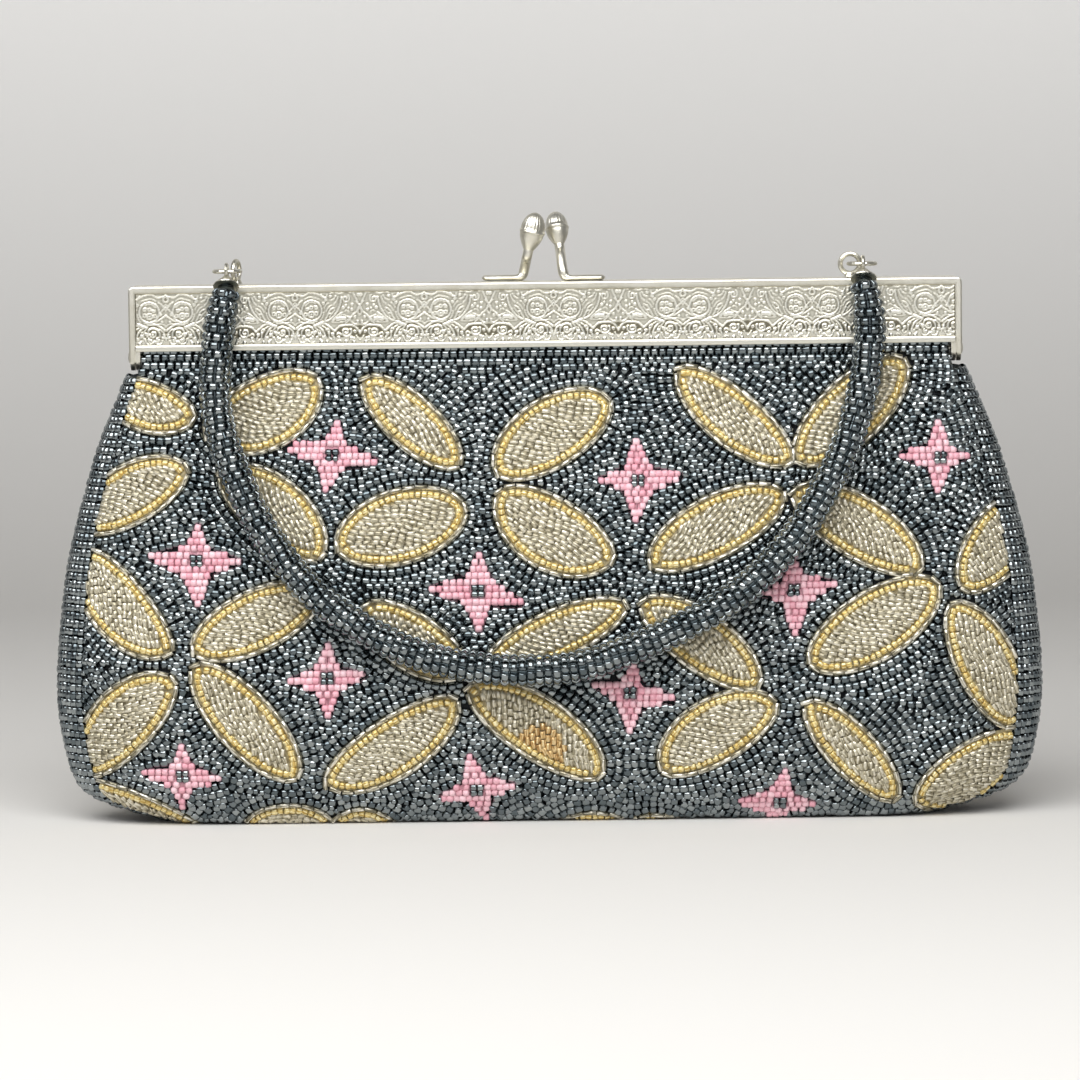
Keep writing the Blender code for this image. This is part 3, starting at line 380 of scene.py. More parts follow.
def evenly(points, step, closed=True):
    """Points about one step apart along a line of points."""
    line = np.vstack([points, points[:1]]) if closed else np.asarray(points)
    along = distances_along(line)
    count = max(3, round(along[-1] / step))
    places = np.linspace(0.0, along[-1], count + 1)
    if closed:
        places = places[:-1]
    return np.stack([np.interp(places, along, line[:, 0]), np.interp(places, along, line[:, 1])], axis=1)


def outward_normals(outline):
    """Unit normals of a closed outline's segments, pointing away from its inside."""
    after = np.roll(outline, -1, axis=0)
    runs = after - outline
    area = np.sum(outline[:, 0] * after[:, 1] - after[:, 0] * outline[:, 1])
    turned = np.stack([runs[:, 1], -runs[:, 0]], axis=1) * math.copysign(1.0, area)
    return turned / np.maximum(np.hypot(*turned.T)[:, None], TINY)


def inside(points, outline):
    """Which points lie inside a closed outline, by counting crossings."""
    result = np.zeros(len(points), bool)
    x, y = points[:, 0], points[:, 1]
    for (x1, y1), (x2, y2) in zip(outline, np.roll(outline, -1, axis=0)):
        if y1 == y2:
            continue
        crosses = ((y1 > y) != (y2 > y)) & (x < (x2 - x1) * (y - y1) / (y2 - y1) + x1)
        result ^= crosses
    return result


def moved_out(outline, distance):
    """The outline moved outwards, with arcs round its corners; a negative distance moves it inwards."""
    normals = outward_normals(outline)
    points = []
    for i in range(len(outline)):
        before, after = normals[i - 1], normals[i]
        turn = math.atan2(before[0] * after[1] - before[1] * after[0], float(before @ after))
        steps = max(1, math.ceil(abs(turn) / CORNER_STEP))
        for j in range(steps + 1):
            angle = turn * j / steps
            c, s = math.cos(angle), math.sin(angle)
            points.append(outline[i] + distance * np.array([before[0] * c - before[1] * s,
                                                            before[0] * s + before[1] * c]))
    return np.array(points)


def leaf_outline(x1, y1, x2, y2, above, below):
    """A leaf's outline in distances over the skin, from its pixels."""
    start, end = np.array([x1, y1], float), np.array([x2, y2], float)
    run = end - start
    normal = np.array([-run[1], run[0]]) / np.hypot(*run)
    if normal[1] > 0:
        normal = -normal
    pixels = []
    steps = np.linspace(0.0, math.pi, LEAF_STEPS + 1)
    shares = (1 - np.cos(steps)) / 2
    swell = (4 * shares * (1 - shares)) ** LEAF_FULLNESS
    for share, wide in zip(shares, swell):
        pixels.append(start + run * share + normal * above * wide)
    for share, wide in zip(shares[-2:0:-1], swell[-2:0:-1]):
        pixels.append(start + run * share - normal * below * wide)
    return evenly(np.array([place_of_pixel(*pixel) for pixel in pixels]), OUTLINE_STEP)


def flower_outline(cx, cy, *tips):
    """A four-petalled flower's outline in distances over the skin."""
    middle = np.array([cx, cy], float)
    left, right, top, bottom = (np.array(tips[i:i + 2], float) - middle for i in (0, 2, 4, 6))
    order = [left, top, right, bottom]
    long, wide = PETAL_SHOULDER
    pixels = []
    for here, after in zip(order, order[1:] + order[:1]):
        aside = np.array([-here[1], here[0]])
        pixels += [middle + here * long - aside * wide, middle + here - aside * PETAL_TIP,
                   middle + here + aside * PETAL_TIP, middle + here * long + aside * wide]
        between = here + after
        size = np.hypot(*here) + np.hypot(*after)
        pixels.append(middle + between / np.hypot(*between) * size * FLOWER_WAIST_SHARE)
    return evenly(np.array([place_of_pixel(*pixel) for pixel in pixels]), OUTLINE_STEP)


class BeadMap:
    """Bead centres by cell, to keep beads of neighbouring rows from meeting."""

    def __init__(self):
        self.cells = {}

    def take(self, a, b, limit):
        """Whether a place is at least this far from all that are taken; it is taken too if so."""
        i, j = int(math.floor(a / BEAD_CELL)), int(math.floor(b / BEAD_CELL))
        for cell in [(u, v) for u in (i - 1, i, i + 1) for v in (j - 1, j, j + 1)]:
            if any((a - x) ** 2 + (b - y) ** 2 < limit * limit for x, y in self.cells.get(cell, ())):
                return False
        self.cells.setdefault((i, j), []).append((a, b))
        return True

    def pick(self, candidates, limit):
        """Those candidates, of place and the rest, that find room one after the other."""
        return [candidate for candidate in candidates if self.take(candidate[0], candidate[1], limit)]


# Motifs and the bead rows round and in them, all in distances across and down the skin
LEAVES = [leaf_outline(*leaf[:6]) for leaf in LEAVES_PX]
FLOWERS = [flower_outline(*flower) for flower in FLOWERS_PX]
MOTIFS = LEAVES + FLOWERS


def covered_cells():
    """A fine grid over the panel that holds the number of the motif over each cell, or -1."""
    wide, deep = RING_END.max(), BASE_MIDDLE
    cells = np.full((math.ceil(deep / CELL) + 2, 2 * math.ceil(wide / CELL) + 3), -1)
    middle = cells.shape[1] // 2
    for number, outline in enumerate(MOTIFS):
        low, high = outline.min(axis=0), outline.max(axis=0)
        i1, i2 = max(0, int(low[1] / CELL)), min(cells.shape[0], int(high[1] / CELL) + 2)
        j1 = max(0, int(low[0] / CELL) - 1 + middle)
        j2 = min(cells.shape[1], int(high[0] / CELL) + 2 + middle)
        down, over = np.meshgrid(np.arange(i1, i2), np.arange(j1, j2), indexing="ij")
        places = np.stack([(over.ravel() - middle) * CELL, down.ravel() * CELL], axis=1)
        hit = inside(places, outline).reshape(down.shape)
        block = cells[i1:i2, j1:j2]
        block[hit & (block < 0)] = number
    return cells, middle


COVER, COVER_MIDDLE = covered_cells()


def motif_under(points):
    """Numbers of the motifs under the points, or -1."""
    over, down = np.round(points / CELL).astype(int).T
    rows = np.clip(down, 0, COVER.shape[0] - 1)
    return COVER[rows, np.clip(over + COVER_MIDDLE, 0, COVER.shape[1] - 1)]


def outline_tree(outlines):
    """The points of outlines, for the nearest one to be found."""
    points = np.vstack(outlines)
    tree = KDTree(len(points))
    for count, (a, b) in enumerate(points):
        tree.insert((a, b, 0.0), count)
    tree.balance()
    return tree


ALL_OUTLINES = outline_tree(MOTIFS)
OWN_OUTLINES = [outline_tree([outline]) for outline in MOTIFS]


def outline_distance(points, number=None):
    """Distance of each point to the nearest outline, or to one motif's own."""
    tree = ALL_OUTLINES if number is None else OWN_OUTLINES[number]
    return np.array([tree.find((a, b, 0.0))[2] for a, b in points])


def kept_runs(points, keep, closed, bridge=0.0):
    """The stretches of a line of points that are kept; stretches whose ends nearly meet are one."""
    count = len(points)
    if keep.all():
        return [(points, closed)]
    if not keep.any():
        return []
    first = int(np.argmin(keep)) if closed else 0
    order = [(first + i) % count for i in range(count)]
    runs, run = [], []
    for i in order:
        if keep[i]:
            run.append(points[i])
        elif run:
            runs.append(np.array(run))
            run = []
    if run:
        runs.append(np.array(run))
    joined = []
    for run in runs:
        if joined and np.hypot(*(run[0] - joined[-1][-1])) < bridge:
            joined[-1] = np.vstack([joined[-1], run])
        else:
            joined.append(run)
    if closed and len(joined) == 1 and np.hypot(*(joined[0][0] - joined[0][-1])) < bridge:
        return [(joined[0], True)]
    return [(run, False) for run in joined if len(run) > 2]


def spaced(run, pitch, closed):
    """Places one bead pitch apart along a run, with the run's direction at each."""
    line = np.vstack([run, run[:1]]) if closed else run
    along = distances_along(line)
    whole = along[-1]
    count = int(round(whole / pitch)) if closed else int(whole / pitch + LAST_BEAD_SHARE)
    if count < 1:
        return []
    if closed:
        places = np.arange(count) * whole / count
    elif count == 1:
        places = along[-1:] / 2
    else:
        margin = min(pitch * RUN_MARGIN_SHARE, whole / count / 2)
        places = np.linspace(margin, whole - margin, count)

    def point_at(place):
        return [np.interp(place, along, line[:, k]) for k in range(2)]

    result = []
    for place in places:
        before = point_at(max(0.0, place - pitch / 2))
        after = point_at(min(whole, place + pitch / 2))
        result.append((*point_at(place), math.atan2(after[1] - before[1], after[0] - before[0])))
    return result


def on_panel(points, margin):
    """Which points lie on the front panel, this far inside its seams."""
    return np.abs(points[:, 0]) <= seam_at(points[:, 1]) - margin


def level_line(b, step):
    """Places across the whole panel at one distance down."""
    across = np.arange(-seam_at(b), seam_at(b), step)
    return np.stack([across, np.full(len(across), b)], axis=1)


def far_enough(line, keep, depth, number=None):
    """Which of the kept points are at least this far from the outlines, or from one motif's own."""
    near = np.zeros(len(line))
    if keep.any():
        near[keep] = outline_distance(line[keep], number)
    return keep & (near >= depth)


def rows_of(used, line, keep, closed, pitch, limit, bridge=0.0):
    """Beads along the kept runs of a line, where there is room for them."""
    found = []
    for run, whole in kept_runs(line, keep, closed, bridge):
        found += used.pick(spaced(run, pitch, whole), limit)
    return found


def ground_places():
    """The ground beads of one panel: rows under the frame, rows round each motif, straight rows,
    beads in the gaps that these leave, and smaller beads in the slits between neighbouring motifs."""
    used = BeadMap()
    places = []

    def straight_row(b, limit):
        line = level_line(b, OUTLINE_STEP)
        keep = on_panel(line, ROW_PITCH * EDGE_SHARE) & (motif_under(line) < 0)
        keep &= outline_distance(line) >= ROW_PITCH * NEAR_SHARE
        return rows_of(used, line, keep, False, BEAD_PITCH, limit)

    for k in range(TOP_ROWS):
        places += straight_row(TOP_START + (k + 0.5) * TOP_PITCH, CLOSEST_SHARE * ROW_PITCH)
    top = TOP_START + TOP_ROWS * TOP_PITCH
    for k in range(CONTOUR_ROWS):
        distance = (k + 0.5) * ROW_PITCH
        for outline in MOTIFS:
            line = evenly(moved_out(outline, distance), OUTLINE_STEP)
            keep = on_panel(line, ROW_PITCH * EDGE_SHARE) & (line[:, 1] >= top + ROW_PITCH * NEAR_SHARE)
            keep &= (line[:, 1] <= BASE_MIDDLE - ROW_PITCH * EDGE_SHARE) & (motif_under(line) < 0)
            keep = far_enough(line, keep, distance - OUTLINE_STEP / 4)
            places += rows_of(used, line, keep, True, BEAD_PITCH, CLOSEST_SHARE * ROW_PITCH)
    rows = int((BASE_MIDDLE - top) / ROW_PITCH)
    for k in range(rows):
        places += straight_row(top + (k + 0.5) * (BASE_MIDDLE - top) / rows, ROW_PITCH * FILL_GAP_SHARE)
    slits = []
    for found, seam, depth, limit in ((places, NEAR_SHARE, GAP_DEPTH_SHARE, GAP_SHARE),
                                      (slits, SLIT_SEAM_SHARE, SLIT_DEPTH_SHARE, SLIT_GAP_SHARE)):
        for b in np.arange(ROW_PITCH / 2, BASE_MIDDLE - ROW_PITCH / 2, ROW_PITCH / GAP_STEPS):
            line = level_line(b, ROW_PITCH / GAP_STEPS)
            line = line[on_panel(line, ROW_PITCH * seam) & (motif_under(line) < 0)]
            line = line[outline_distance(line) >= ROW_PITCH * depth]
            found += used.pick([(a, b, 0.0) for a, _ in line], ROW_PITCH * limit)
    return places, slits


def side_places():
    """The plain beads of one end, as places across from the middle line of the end, and down."""
    used = BeadMap()
    places = []
    start = SIDE_TOP + BEAD_PITCH / 2
    b_line = np.arange(start, BASE_EDGE + ROW_PITCH, OUTLINE_STEP)
    for k in range(1 + int((RING_END - SEAM).max() / ROW_PITCH)):
        for half in (-1, 1):
            offset = np.interp(b_line, DOWN, RING_END) - seam_at(b_line) - (k + 0.5) * ROW_PITCH
            line = np.stack([half * offset, b_line], axis=1)
            places += rows_of(used, line, offset > ROW_PITCH * SIDE_MIDDLE_SHARE, False, BEAD_PITCH,
                              CLOSEST_SHARE * ROW_PITCH)
    step = ROW_PITCH / GAP_STEPS
    for b in np.arange(start, BASE_EDGE, step):
        wide = np.interp(b, DOWN, RING_END) - seam_at(b) - ROW_PITCH * NEAR_SHARE
        row = [(a, b, math.pi / 2) for a in np.arange(-wide, wide, step)]
        places += used.pick(row, ROW_PITCH * GAP_SHARE)
    return places


def free_spots(outline, number, step, depth, lowest):
    """A fine grid of places in a motif that are at least this deep inside its outline."""
    low, high = outline.min(axis=0), outline.max(axis=0)
    grid = np.stack(np.meshgrid(np.arange(low[0], high[0], step), np.arange(low[1], high[1], step)),
                    axis=-1).reshape(-1, 2)
    keep = (motif_under(grid) == number) & on_panel(grid, SEAM_GAP) & (grid[:, 1] <= lowest)
    return grid[far_enough(grid, keep, depth, number)]


def motif_places():
    """Beads of the motifs: bugles, gold row and fill of the leaves, and the flowers' beads."""
    bugles, gold, fill, pink, hearts = [], [], [], [], []
    rng = random.Random(SEED + 1)
    bugle_map, gold_map, fill_map, pink_map = BeadMap(), BeadMap(), BeadMap(), BeadMap()
    gold_depth = BUGLE_DIAMETER + GOLD_DIAMETER * 0.5
    fill_depth = BUGLE_DIAMETER + GOLD_DIAMETER + FILL_DIAMETER * FILL_DEPTH_SHARE

    def in_motif(line, number, diameter):
        keep = on_panel(line, SEAM_GAP) & (motif_under(line) == number)
        return keep & (line[:, 1] <= BASE_MIDDLE - diameter)

    def rim_row(used, outline, number, depth, diameter, pitch, limit):
        line = evenly(moved_out(outline, -depth), OUTLINE_STEP)
        keep = in_motif(line, number, GOLD_DIAMETER)
        keep &= outline_distance(line, number) >= depth - OUTLINE_STEP / 4
        found = rows_of(used, line, keep, True, pitch, limit, diameter)
        return [(*bead, number) for bead in found]

    for number, outline in enumerate(LEAVES):
        bugles += rim_row(bugle_map, outline, number, BUGLE_DIAMETER * 0.5, BUGLE_DIAMETER, BUGLE_PITCH,
                          BUGLE_DIAMETER)
        gold += rim_row(gold_map, outline, number, gold_depth, GOLD_DIAMETER, GOLD_PITCH,
                        GOLD_PITCH * GOLD_GAP_SHARE)
        slope = math.radians(LEAVES_PX[number][6])
        ahead = np.array([math.cos(slope), math.sin(slope)])
        across = np.array([-ahead[1], ahead[0]])
        middle = outline.mean(axis=0)
        reach = np.hypot(*(outline - middle).T).max()
        phase = rng.random() * math.tau
        rows = int(reach / FILL_ROW_PITCH)
        for k in range(-rows, rows + 1):
            t = np.arange(-reach, reach, OUTLINE_STEP / 2) + rng.random() * FILL_PITCH
            wave = FILL_WAVE * np.sin(t / FILL_WAVE_LENGTH * math.tau + phase + k * FILL_WAVE_SHIFT)
            line = middle + ahead * t[:, None] + across * (k * FILL_ROW_PITCH + wave)[:, None]
            keep = far_enough(line, in_motif(line, number, FILL_DIAMETER), fill_depth, number)
            fill += [(a, b, turn + rng.uniform(-FILL_SKEW, FILL_SKEW), number) for a, b, turn in
                     rows_of(fill_map, line, keep, False, FILL_PITCH, FILL_ROW_PITCH * FILL_ROW_GAP)]
        spots = free_spots(outline, number, FILL_ROW_PITCH / GAP_STEPS, fill_depth,
                           BASE_MIDDLE - FILL_DIAMETER)
        fill += [(a, b, slope, number) for a, b in fill_map.pick(spots, FILL_ROW_PITCH * FILL_SPOT_GAP)]
    for number, outline in enumerate(FLOWERS, len(LEAVES)):
        middle = np.array(place_of_pixel(*FLOWERS_PX[number - len(LEAVES)][:2]))
        for k in range(4):
            angle = math.pi / 4 + k * math.pi / 2
            a, b = middle + FLOWER_HEART * HEART_REACH * np.array([math.cos(angle), math.sin(angle)])
            hearts += pink_map.pick([(a, b, 0.0)], 0.0)
        low, high = outline.min(axis=0), outline.max(axis=0)
        rows = max(2, round((high[1] - low[1]) / PINK_ROW_PITCH))
        for k in range(rows):
            across = np.arange(low[0], high[0], OUTLINE_STEP / 4)
            level = low[1] + (k + 0.5) * (high[1] - low[1]) / rows
            line = np.stack([across, np.full(len(across), level)], axis=1)
            keep = in_motif(line, number, PINK_DIAMETER)
            keep &= np.hypot(*(line - middle).T) >= FLOWER_HEART * PINK_REACH
            pink += rows_of(pink_map, line, keep, False, PINK_PITCH, PINK_ROW_PITCH * PINK_ROW_GAP)
        spots = free_spots(outline, number, PINK_PITCH / GAP_STEPS, PINK_DIAMETER * PINK_DEPTH_SHARE,
                           BASE_MIDDLE - PINK_DIAMETER)
        pink += [(a, b, 0.0) for a, b in pink_map.pick(spots, PINK_ROW_PITCH * PINK_SPOT_GAP)]
    return bugles, gold, fill, pink, hearts


def hex_colour(text):
    """An sRGB hex colour as linear values."""
    values = [int(text.lstrip("#")[i:i + 2], 16) / 255 for i in (0, 2, 4)]
    return tuple(v / 12.92 if v <= 0.04045 else ((v + 0.055) / 1.055) ** 2.4 for v in values) + (1.0,)


def add_node(tree, kind, values=None, links=None, **settings):
    """A node with its settings, input values and incoming links."""
    node = tree.nodes.new(kind)
    for key, value in settings.items():
        setattr(node, key, value)
    for key, value in (values or {}).items():
        node.inputs[key].default_value = value
    for key, socket in (links or {}).items():
        tree.links.new(socket, node.inputs[key])
    return node


def new_material(name):
    """An empty material with its tree, shader and output."""
    material = bpy.data.materials.new(name)
    material.use_nodes = True
    tree = material.node_tree
    tree.nodes.clear()
    shader = add_node(tree, "ShaderNodeBsdfPrincipled")
    add_node(tree, "ShaderNodeOutputMaterial", links={"Surface": shader.outputs["BSDF"]})
    return material, tree, shader


def made(*given, **settings):
    """The first output of an added node."""
    return add_node(*given, **settings).outputs[0]


def add_math(tree, operation, *values):
    """The result of a maths node on sockets and numbers."""
    numbers = {i: value for i, value in enumerate(values) if isinstance(value, float)}
    sockets = {i: value for i, value in enumerate(values) if i not in numbers}
    return made(tree, "ShaderNodeMath", numbers, sockets, operation=operation)


def add_ramp(tree, socket, colours, places=(0.0, 1.0)):
    """A colour ramp through hex colours at these places."""
    ramp = add_node(tree, "ShaderNodeValToRGB", links={0: socket})
    elements = ramp.color_ramp.elements
    for element, end in ((elements[0], 0), (elements[1], -1)):
        element.position = places[end]
        element.color = hex_colour(colours[end])
    for colour, place in zip(colours[1:-1], places[1:-1]):
        elements.new(place).color = hex_colour(colour)
    return ramp.outputs[0]


def link_into(piece):
    """The same object, now in the scene."""
    bpy.context.scene.collection.objects.link(piece)
    return piece


def mesh_object(name, points, faces, materials):
    """A smooth-shaded mesh object at the origin."""
    mesh = bpy.data.meshes.new(name)
    mesh.from_pydata([tuple(p) for p in points], [], faces)
    for material in materials:
        mesh.materials.append(material)
    mesh.shade_smooth()
    mesh.update()
    return link_into(bpy.data.objects.new(name, mesh))


def face_outwards(piece):
    """Turn a closed mesh's faces outwards."""
    work = bmesh.new()
    work.from_mesh(piece.data)
    bmesh.ops.remove_doubles(work, verts=work.verts[:], dist=MERGE_DISTANCE)
    bmesh.ops.recalc_face_normals(work, faces=work.faces[:])
    work.to_mesh(piece.data)
    work.free()
    piece.data.update()


def tube_faces(rows, sides):
    """Quads between neighbouring rings of points."""
    faces = []
    for i in range(rows - 1):
        for j in range(sides):
            here, after = i * sides + j, i * sides + (j + 1) % sides
            faces.append([here, after, after + sides, here + sides])
    return faces


def round_solid(name, points, faces, material):
    """A mesh object whose faces are turned outwards."""
    piece = mesh_object(name, points, faces, [material])
    face_outwards(piece)
    return piece


def closed_sheet(name, outer, inner, material):
    """A thin closed sheet between two grids of points with the same rows and columns."""
    rows, columns = len(outer), len(outer[0])
    points = [p for grid in (outer, inner) for line in grid for p in line]

    def place(side, i, j):
        return side * rows * columns + i * columns + j

    faces = []
    for i in range(rows - 1):
        for j in range(columns - 1):
            quad = [(i, j), (i, j + 1), (i + 1, j + 1), (i + 1, j)]
            faces.append([place(0, *at) for at in quad])
            faces.append([place(1, *at) for at in reversed(quad)])
    edge = [(0, j) for j in range(columns)] + [(i, columns - 1) for i in range(1, rows)]
    edge += [(rows - 1, j) for j in range(columns - 2, -1, -1)] + [(i, 0) for i in range(rows - 2, 0, -1)]
    for here, after in zip(edge, edge[1:] + edge[:1]):
        faces.append([place(0, *here), place(1, *here), place(1, *after), place(0, *after)])
    return round_solid(name, points, faces, material)


def cloth_point(a, b, depth, rear=False):
    """A point under the skin, on the front or mirrored to the rear."""
    point, _, _, out = skin_frame(a, b)
    point = point - out * depth
    return Vector((point.x, -point.y, point.z)) if rear else point


def panel_cloth(name, rear, material, depths=CLOTH_DEPTHS, lowest=math.inf):
    """The cloth of the front or the rear, from under the plate to the base's middle or a lowest level."""
    levels = np.concatenate([np.arange(0.0, BASE_EDGE, LEVEL_STEP),
                             np.linspace(BASE_EDGE, BASE_MIDDLE, BASE_LEVELS)])
    shares = np.linspace(-1.0, 1.0, PANEL_COLUMNS)
    grids = [[[cloth_point(share * seam_at(b), b, depth, rear) for share in shares]
              for b in levels[levels < lowest]] for depth in depths]
    return closed_sheet(name, *grids, material)


def side_cloth(name, side, material, depths=CLOTH_DEPTHS, lowest=math.inf):
    """The cloth of one end, from the front seam round to the rear seam."""
    levels = np.concatenate([np.arange(SIDE_TOP, BASE_EDGE, LEVEL_STEP), [BASE_EDGE]])
    shares = np.linspace(0.0, 1.0, SIDE_COLUMNS)
    grids = []
    for depth in depths:
        grid = []
        for b in levels[levels < lowest]:
            seam, end = seam_at(b), np.interp(b, DOWN, RING_END)
            front = [cloth_point(side * (seam + (end - seam) * share), b, depth) for share in shares]
            front[-1].y = 0.0
            grid.append(front + [Vector((p.x, -p.y, p.z)) for p in front[-2::-1]])
        grids.append(grid)
    return closed_sheet(name, *grids, material)


# Where patches of the noise start and end, and the range over which they change the roughness
PATCH_EDGES, PATCH_RANGE = (0.36, 0.62), (0.3, 0.7)
# The patches' detail and the fine grain's, the grain's scale against theirs, and its height
PATCH_DETAIL, FINE_DETAIL, FINE_SHARE = 5.0, 2.0, 9.0
BUMP_DISTANCE = 0.00004
# How a wave texture's scale gives its period
WAVE_SPAN = 0.314
WEAVE_WOBBLE, WEAVE_BUMP = 0.6, 0.3
GLASS_IOR = 1.5
# Streaks per metre across and along a bead, how far beads differ, and where dark, middle and bright lie; the
# bright streaks are painted glints off the lining
STREAK_SCALE = (2600.0, 2600.0, 300.0)
STREAK_SHIFT = 61.0
STREAK_EDGES = (0.38, 0.48, 0.60)


def surface_material(name, colour, roughness, metallic):
    """A material with its colour from a function of the tree, and what is set on its shader."""
    material, tree, shader = new_material(name)
    tree.links.new(colour(tree), shader.inputs["Base Color"])
    shader.inputs["Roughness"].default_value = roughness
    shader.inputs["Metallic"].default_value = metallic
    return material, tree, shader


def add_bump(tree, shader, height, strength):
    """Let a height raise the surface by fine bumps."""
    size = {"Strength": strength, "Distance": BUMP_DISTANCE}
    tree.links.new(made(tree, "ShaderNodeBump", size, {"Height": height}), shader.inputs["Normal"])


def textured_material(name, low, high, roughness, metallic, scale, bump, wear=0.0):
    """A surface that varies between two colours by noise in object space, with its roughness and height."""
    material, tree, shader = new_material(name)
    place = add_node(tree, "ShaderNodeTexCoord").outputs["Object"]
    patchy, fine = (made(tree, "ShaderNodeTexNoise", {"Scale": size, "Detail": detail}, {"Vector": place})
                    for size, detail in ((scale, PATCH_DETAIL), (scale * FINE_SHARE, FINE_DETAIL)))
    tree.links.new(add_ramp(tree, patchy, (low, high), PATCH_EDGES), shader.inputs["Base Color"])
    rough = made(tree, "ShaderNodeMapRange", dict(enumerate((*PATCH_RANGE, roughness + wear, roughness), 1)),
                 {0: patchy})
    tree.links.new(rough, shader.inputs["Roughness"])
    add_bump(tree, shader, fine, bump)
    shader.inputs["Metallic"].default_value = metallic
    return material


def woven_material(name, low, high, roughness, period, sheen):
    """Cloth whose threads cross: bands over x and z in object space."""
    material, tree, shader = new_material(name)
    place = add_node(tree, "ShaderNodeTexCoord").outputs["Object"]
    scale = {"Scale": WAVE_SPAN / period, "Distortion": WEAVE_WOBBLE}
    bands = [add_node(tree, "ShaderNodeTexWave", scale, {"Vector": place}, wave_type="BANDS",
                      bands_direction=axis).outputs["Fac"] for axis in "XZ"]
    weave = add_math(tree, "MULTIPLY", *bands)
    tree.links.new(add_ramp(tree, weave, (low, high)), shader.inputs["Base Color"])
    add_bump(tree, shader, weave, WEAVE_BUMP)
    shader.inputs["Roughness"].default_value = roughness
    shader.inputs["Sheen Weight"].default_value = sheen
    return material


def attribute(tree, name, output="Fac"):
    """A stored attribute of the mesh."""
    return add_node(tree, "ShaderNodeAttribute", attribute_name=name).outputs[output]


def bead_material(name, low, high, roughness, metallic):
    """Glass beads that vary a little from bead to bead, by the tint that each one carries."""
    material, _, shader = surface_material(
        name, lambda tree: add_ramp(tree, attribute(tree, "tint"), (low, high)), roughness, metallic)
    if metallic < 1.0:
        shader.inputs["IOR"].default_value = GLASS_IOR
    return material


def lined_material(name, dark, middle, bright, roughness, metallic):
    """Glass with a silvered lining: fine streaks along each bead's hole, different on each bead, partly the
    lining's silver and partly painted glints.
    """
    def streaks(tree):
        shift = add_math(tree, "MULTIPLY", attribute(tree, "tint"), STREAK_SHIFT)
        shift = made(tree, "ShaderNodeCombineXYZ", None, {"X": shift, "Y": shift})
        local = attribute(tree, "local", "Vector")
        place = made(tree, "ShaderNodeVectorMath", {1: STREAK_SCALE}, {0: local, 2: shift},
                     operation="MULTIPLY_ADD")
        noise = made(tree, "ShaderNodeTexNoise", {"Scale": 1.0, "Detail": FINE_DETAIL}, {"Vector": place})
        # The bright end of the ramp is painted glint off the lining
        return add_ramp(tree, noise, (dark, middle, bright), STREAK_EDGES)

    return surface_material(name, streaks, roughness, metallic)[0]


# The backing under the beads, dark as the beads themselves, which shows only between them
cloth_material = woven_material("woven_backing_cloth", "#0f1216", "#22272d", 0.9, 0.0006, 0.0)
# Stitched padding under the leaves and the flowers, in the tone of their beads
leaf_padding = textured_material("straw_thread_padding", "#8a7f60", "#b8ab86", 0.8, 0.0, 900.0, 0.3)
pink_padding = textured_material("pink_thread_padding", "#cf94a2", "#e6b3be", 0.8, 0.0, 900.0, 0.3)
# Dark ground beads with a metal lustre, and the glass of the motifs with its silvered or gilt holes and
# painted glints along them
gunmetal_glass = bead_material("gunmetal_glass_beads", "#60696d", "#a2a8a9", 0.12, 1.0)
gold_glass = lined_material("gold_lined_glass_beads", "#bb9a4e", "#e0c67c", "#f9edbd", 0.22, 0.35)
clear_glass = lined_material("silver_lined_glass_beads", "#958d76", "#bdb59c", "#e8e2d0", 0.26, 0.50)
amber_glass = lined_material("amber_lined_glass_beads", "#a27c4b", "#d0ab6e", "#eed7a6", 0.24, 0.35)
pink_glass = bead_material("pink_glass_beads", "#e5a3b1", "#f6cfd7", 0.22, 0.0)
bugle_glass = lined_material("silver_lined_bugle_beads", "#77725f", "#a39c86", "#f3efe2", 0.16, 0.65)

front_cloth = panel_cloth("front_cloth", False, cloth_material)
rear_cloth = panel_cloth("rear_cloth", True, cloth_material)
side_cloths = [side_cloth("side_cloth_" + word, side, cloth_material) for word, side in SIDES]

# Rope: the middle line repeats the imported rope's points, with its ends in the caps
HANDLE_AXIS = Vector((0.0, -0.00815, 0.13165))
CAP_X = 0.0754
CAP_LEAN = math.radians(33.0)
CAP_DIRECTION = Vector((0.0, -math.sin(CAP_LEAN), -math.cos(CAP_LEAN)))
CAP_REACH = 0.0017 - 0.00045 / 4 + 0.0026 + 0.0003
CAP_SINK = 0.0020
CORE_SIDES, LEAST_BEADS = 12, 6
ROPE_DIAMETER = 0.0079
ROPE_END_SHARE = 0.74
ROPE_TAPER_RUN = 0.0085
ROPE_BEAD_DIAMETER, ROPE_BEAD_LENGTH = 0.00232, 0.00200
ROUTE_FINENESS = 12
ROPE_ROUTE = (
    (-0.0760, -0.0116, 0.1243), (-0.0772, -0.0118, 0.1183), (-0.0779, -0.0119, 0.1113),
    (-0.0783, -0.0127, 0.1043), (-0.0778, -0.0140, 0.0983), (-0.0762, -0.0156, 0.0918),
    (-0.0730, -0.0176, 0.0831), (-0.0686, -0.0195, 0.0736), (-0.0631, -0.0210, 0.0652),
    (-0.0560, -0.0223, 0.0568), (-0.0477, -0.0231, 0.0505), (-0.0368, -0.0238, 0.0441),
    (-0.0248, -0.0242, 0.0399), (-0.0120, -0.0243, 0.0379), (0.0000, -0.0243, 0.0377),
    (0.0085, -0.0243, 0.0389), (0.0180, -0.0241, 0.0418), (0.0281, -0.0237, 0.0459),
    (0.0382, -0.0232, 0.0509), (0.0469, -0.0225, 0.0567), (0.0558, -0.0211, 0.0652),
    (0.0618, -0.0197, 0.0731), (0.0664, -0.0181, 0.0810), (0.0707, -0.0163, 0.0893),
    (0.0733, -0.0145, 0.0969), (0.0754, -0.0128, 0.1045), (0.0766, -0.0119, 0.1123),
    (0.0766, -0.0118, 0.1188), (0.0760, -0.0116, 0.1243),
)


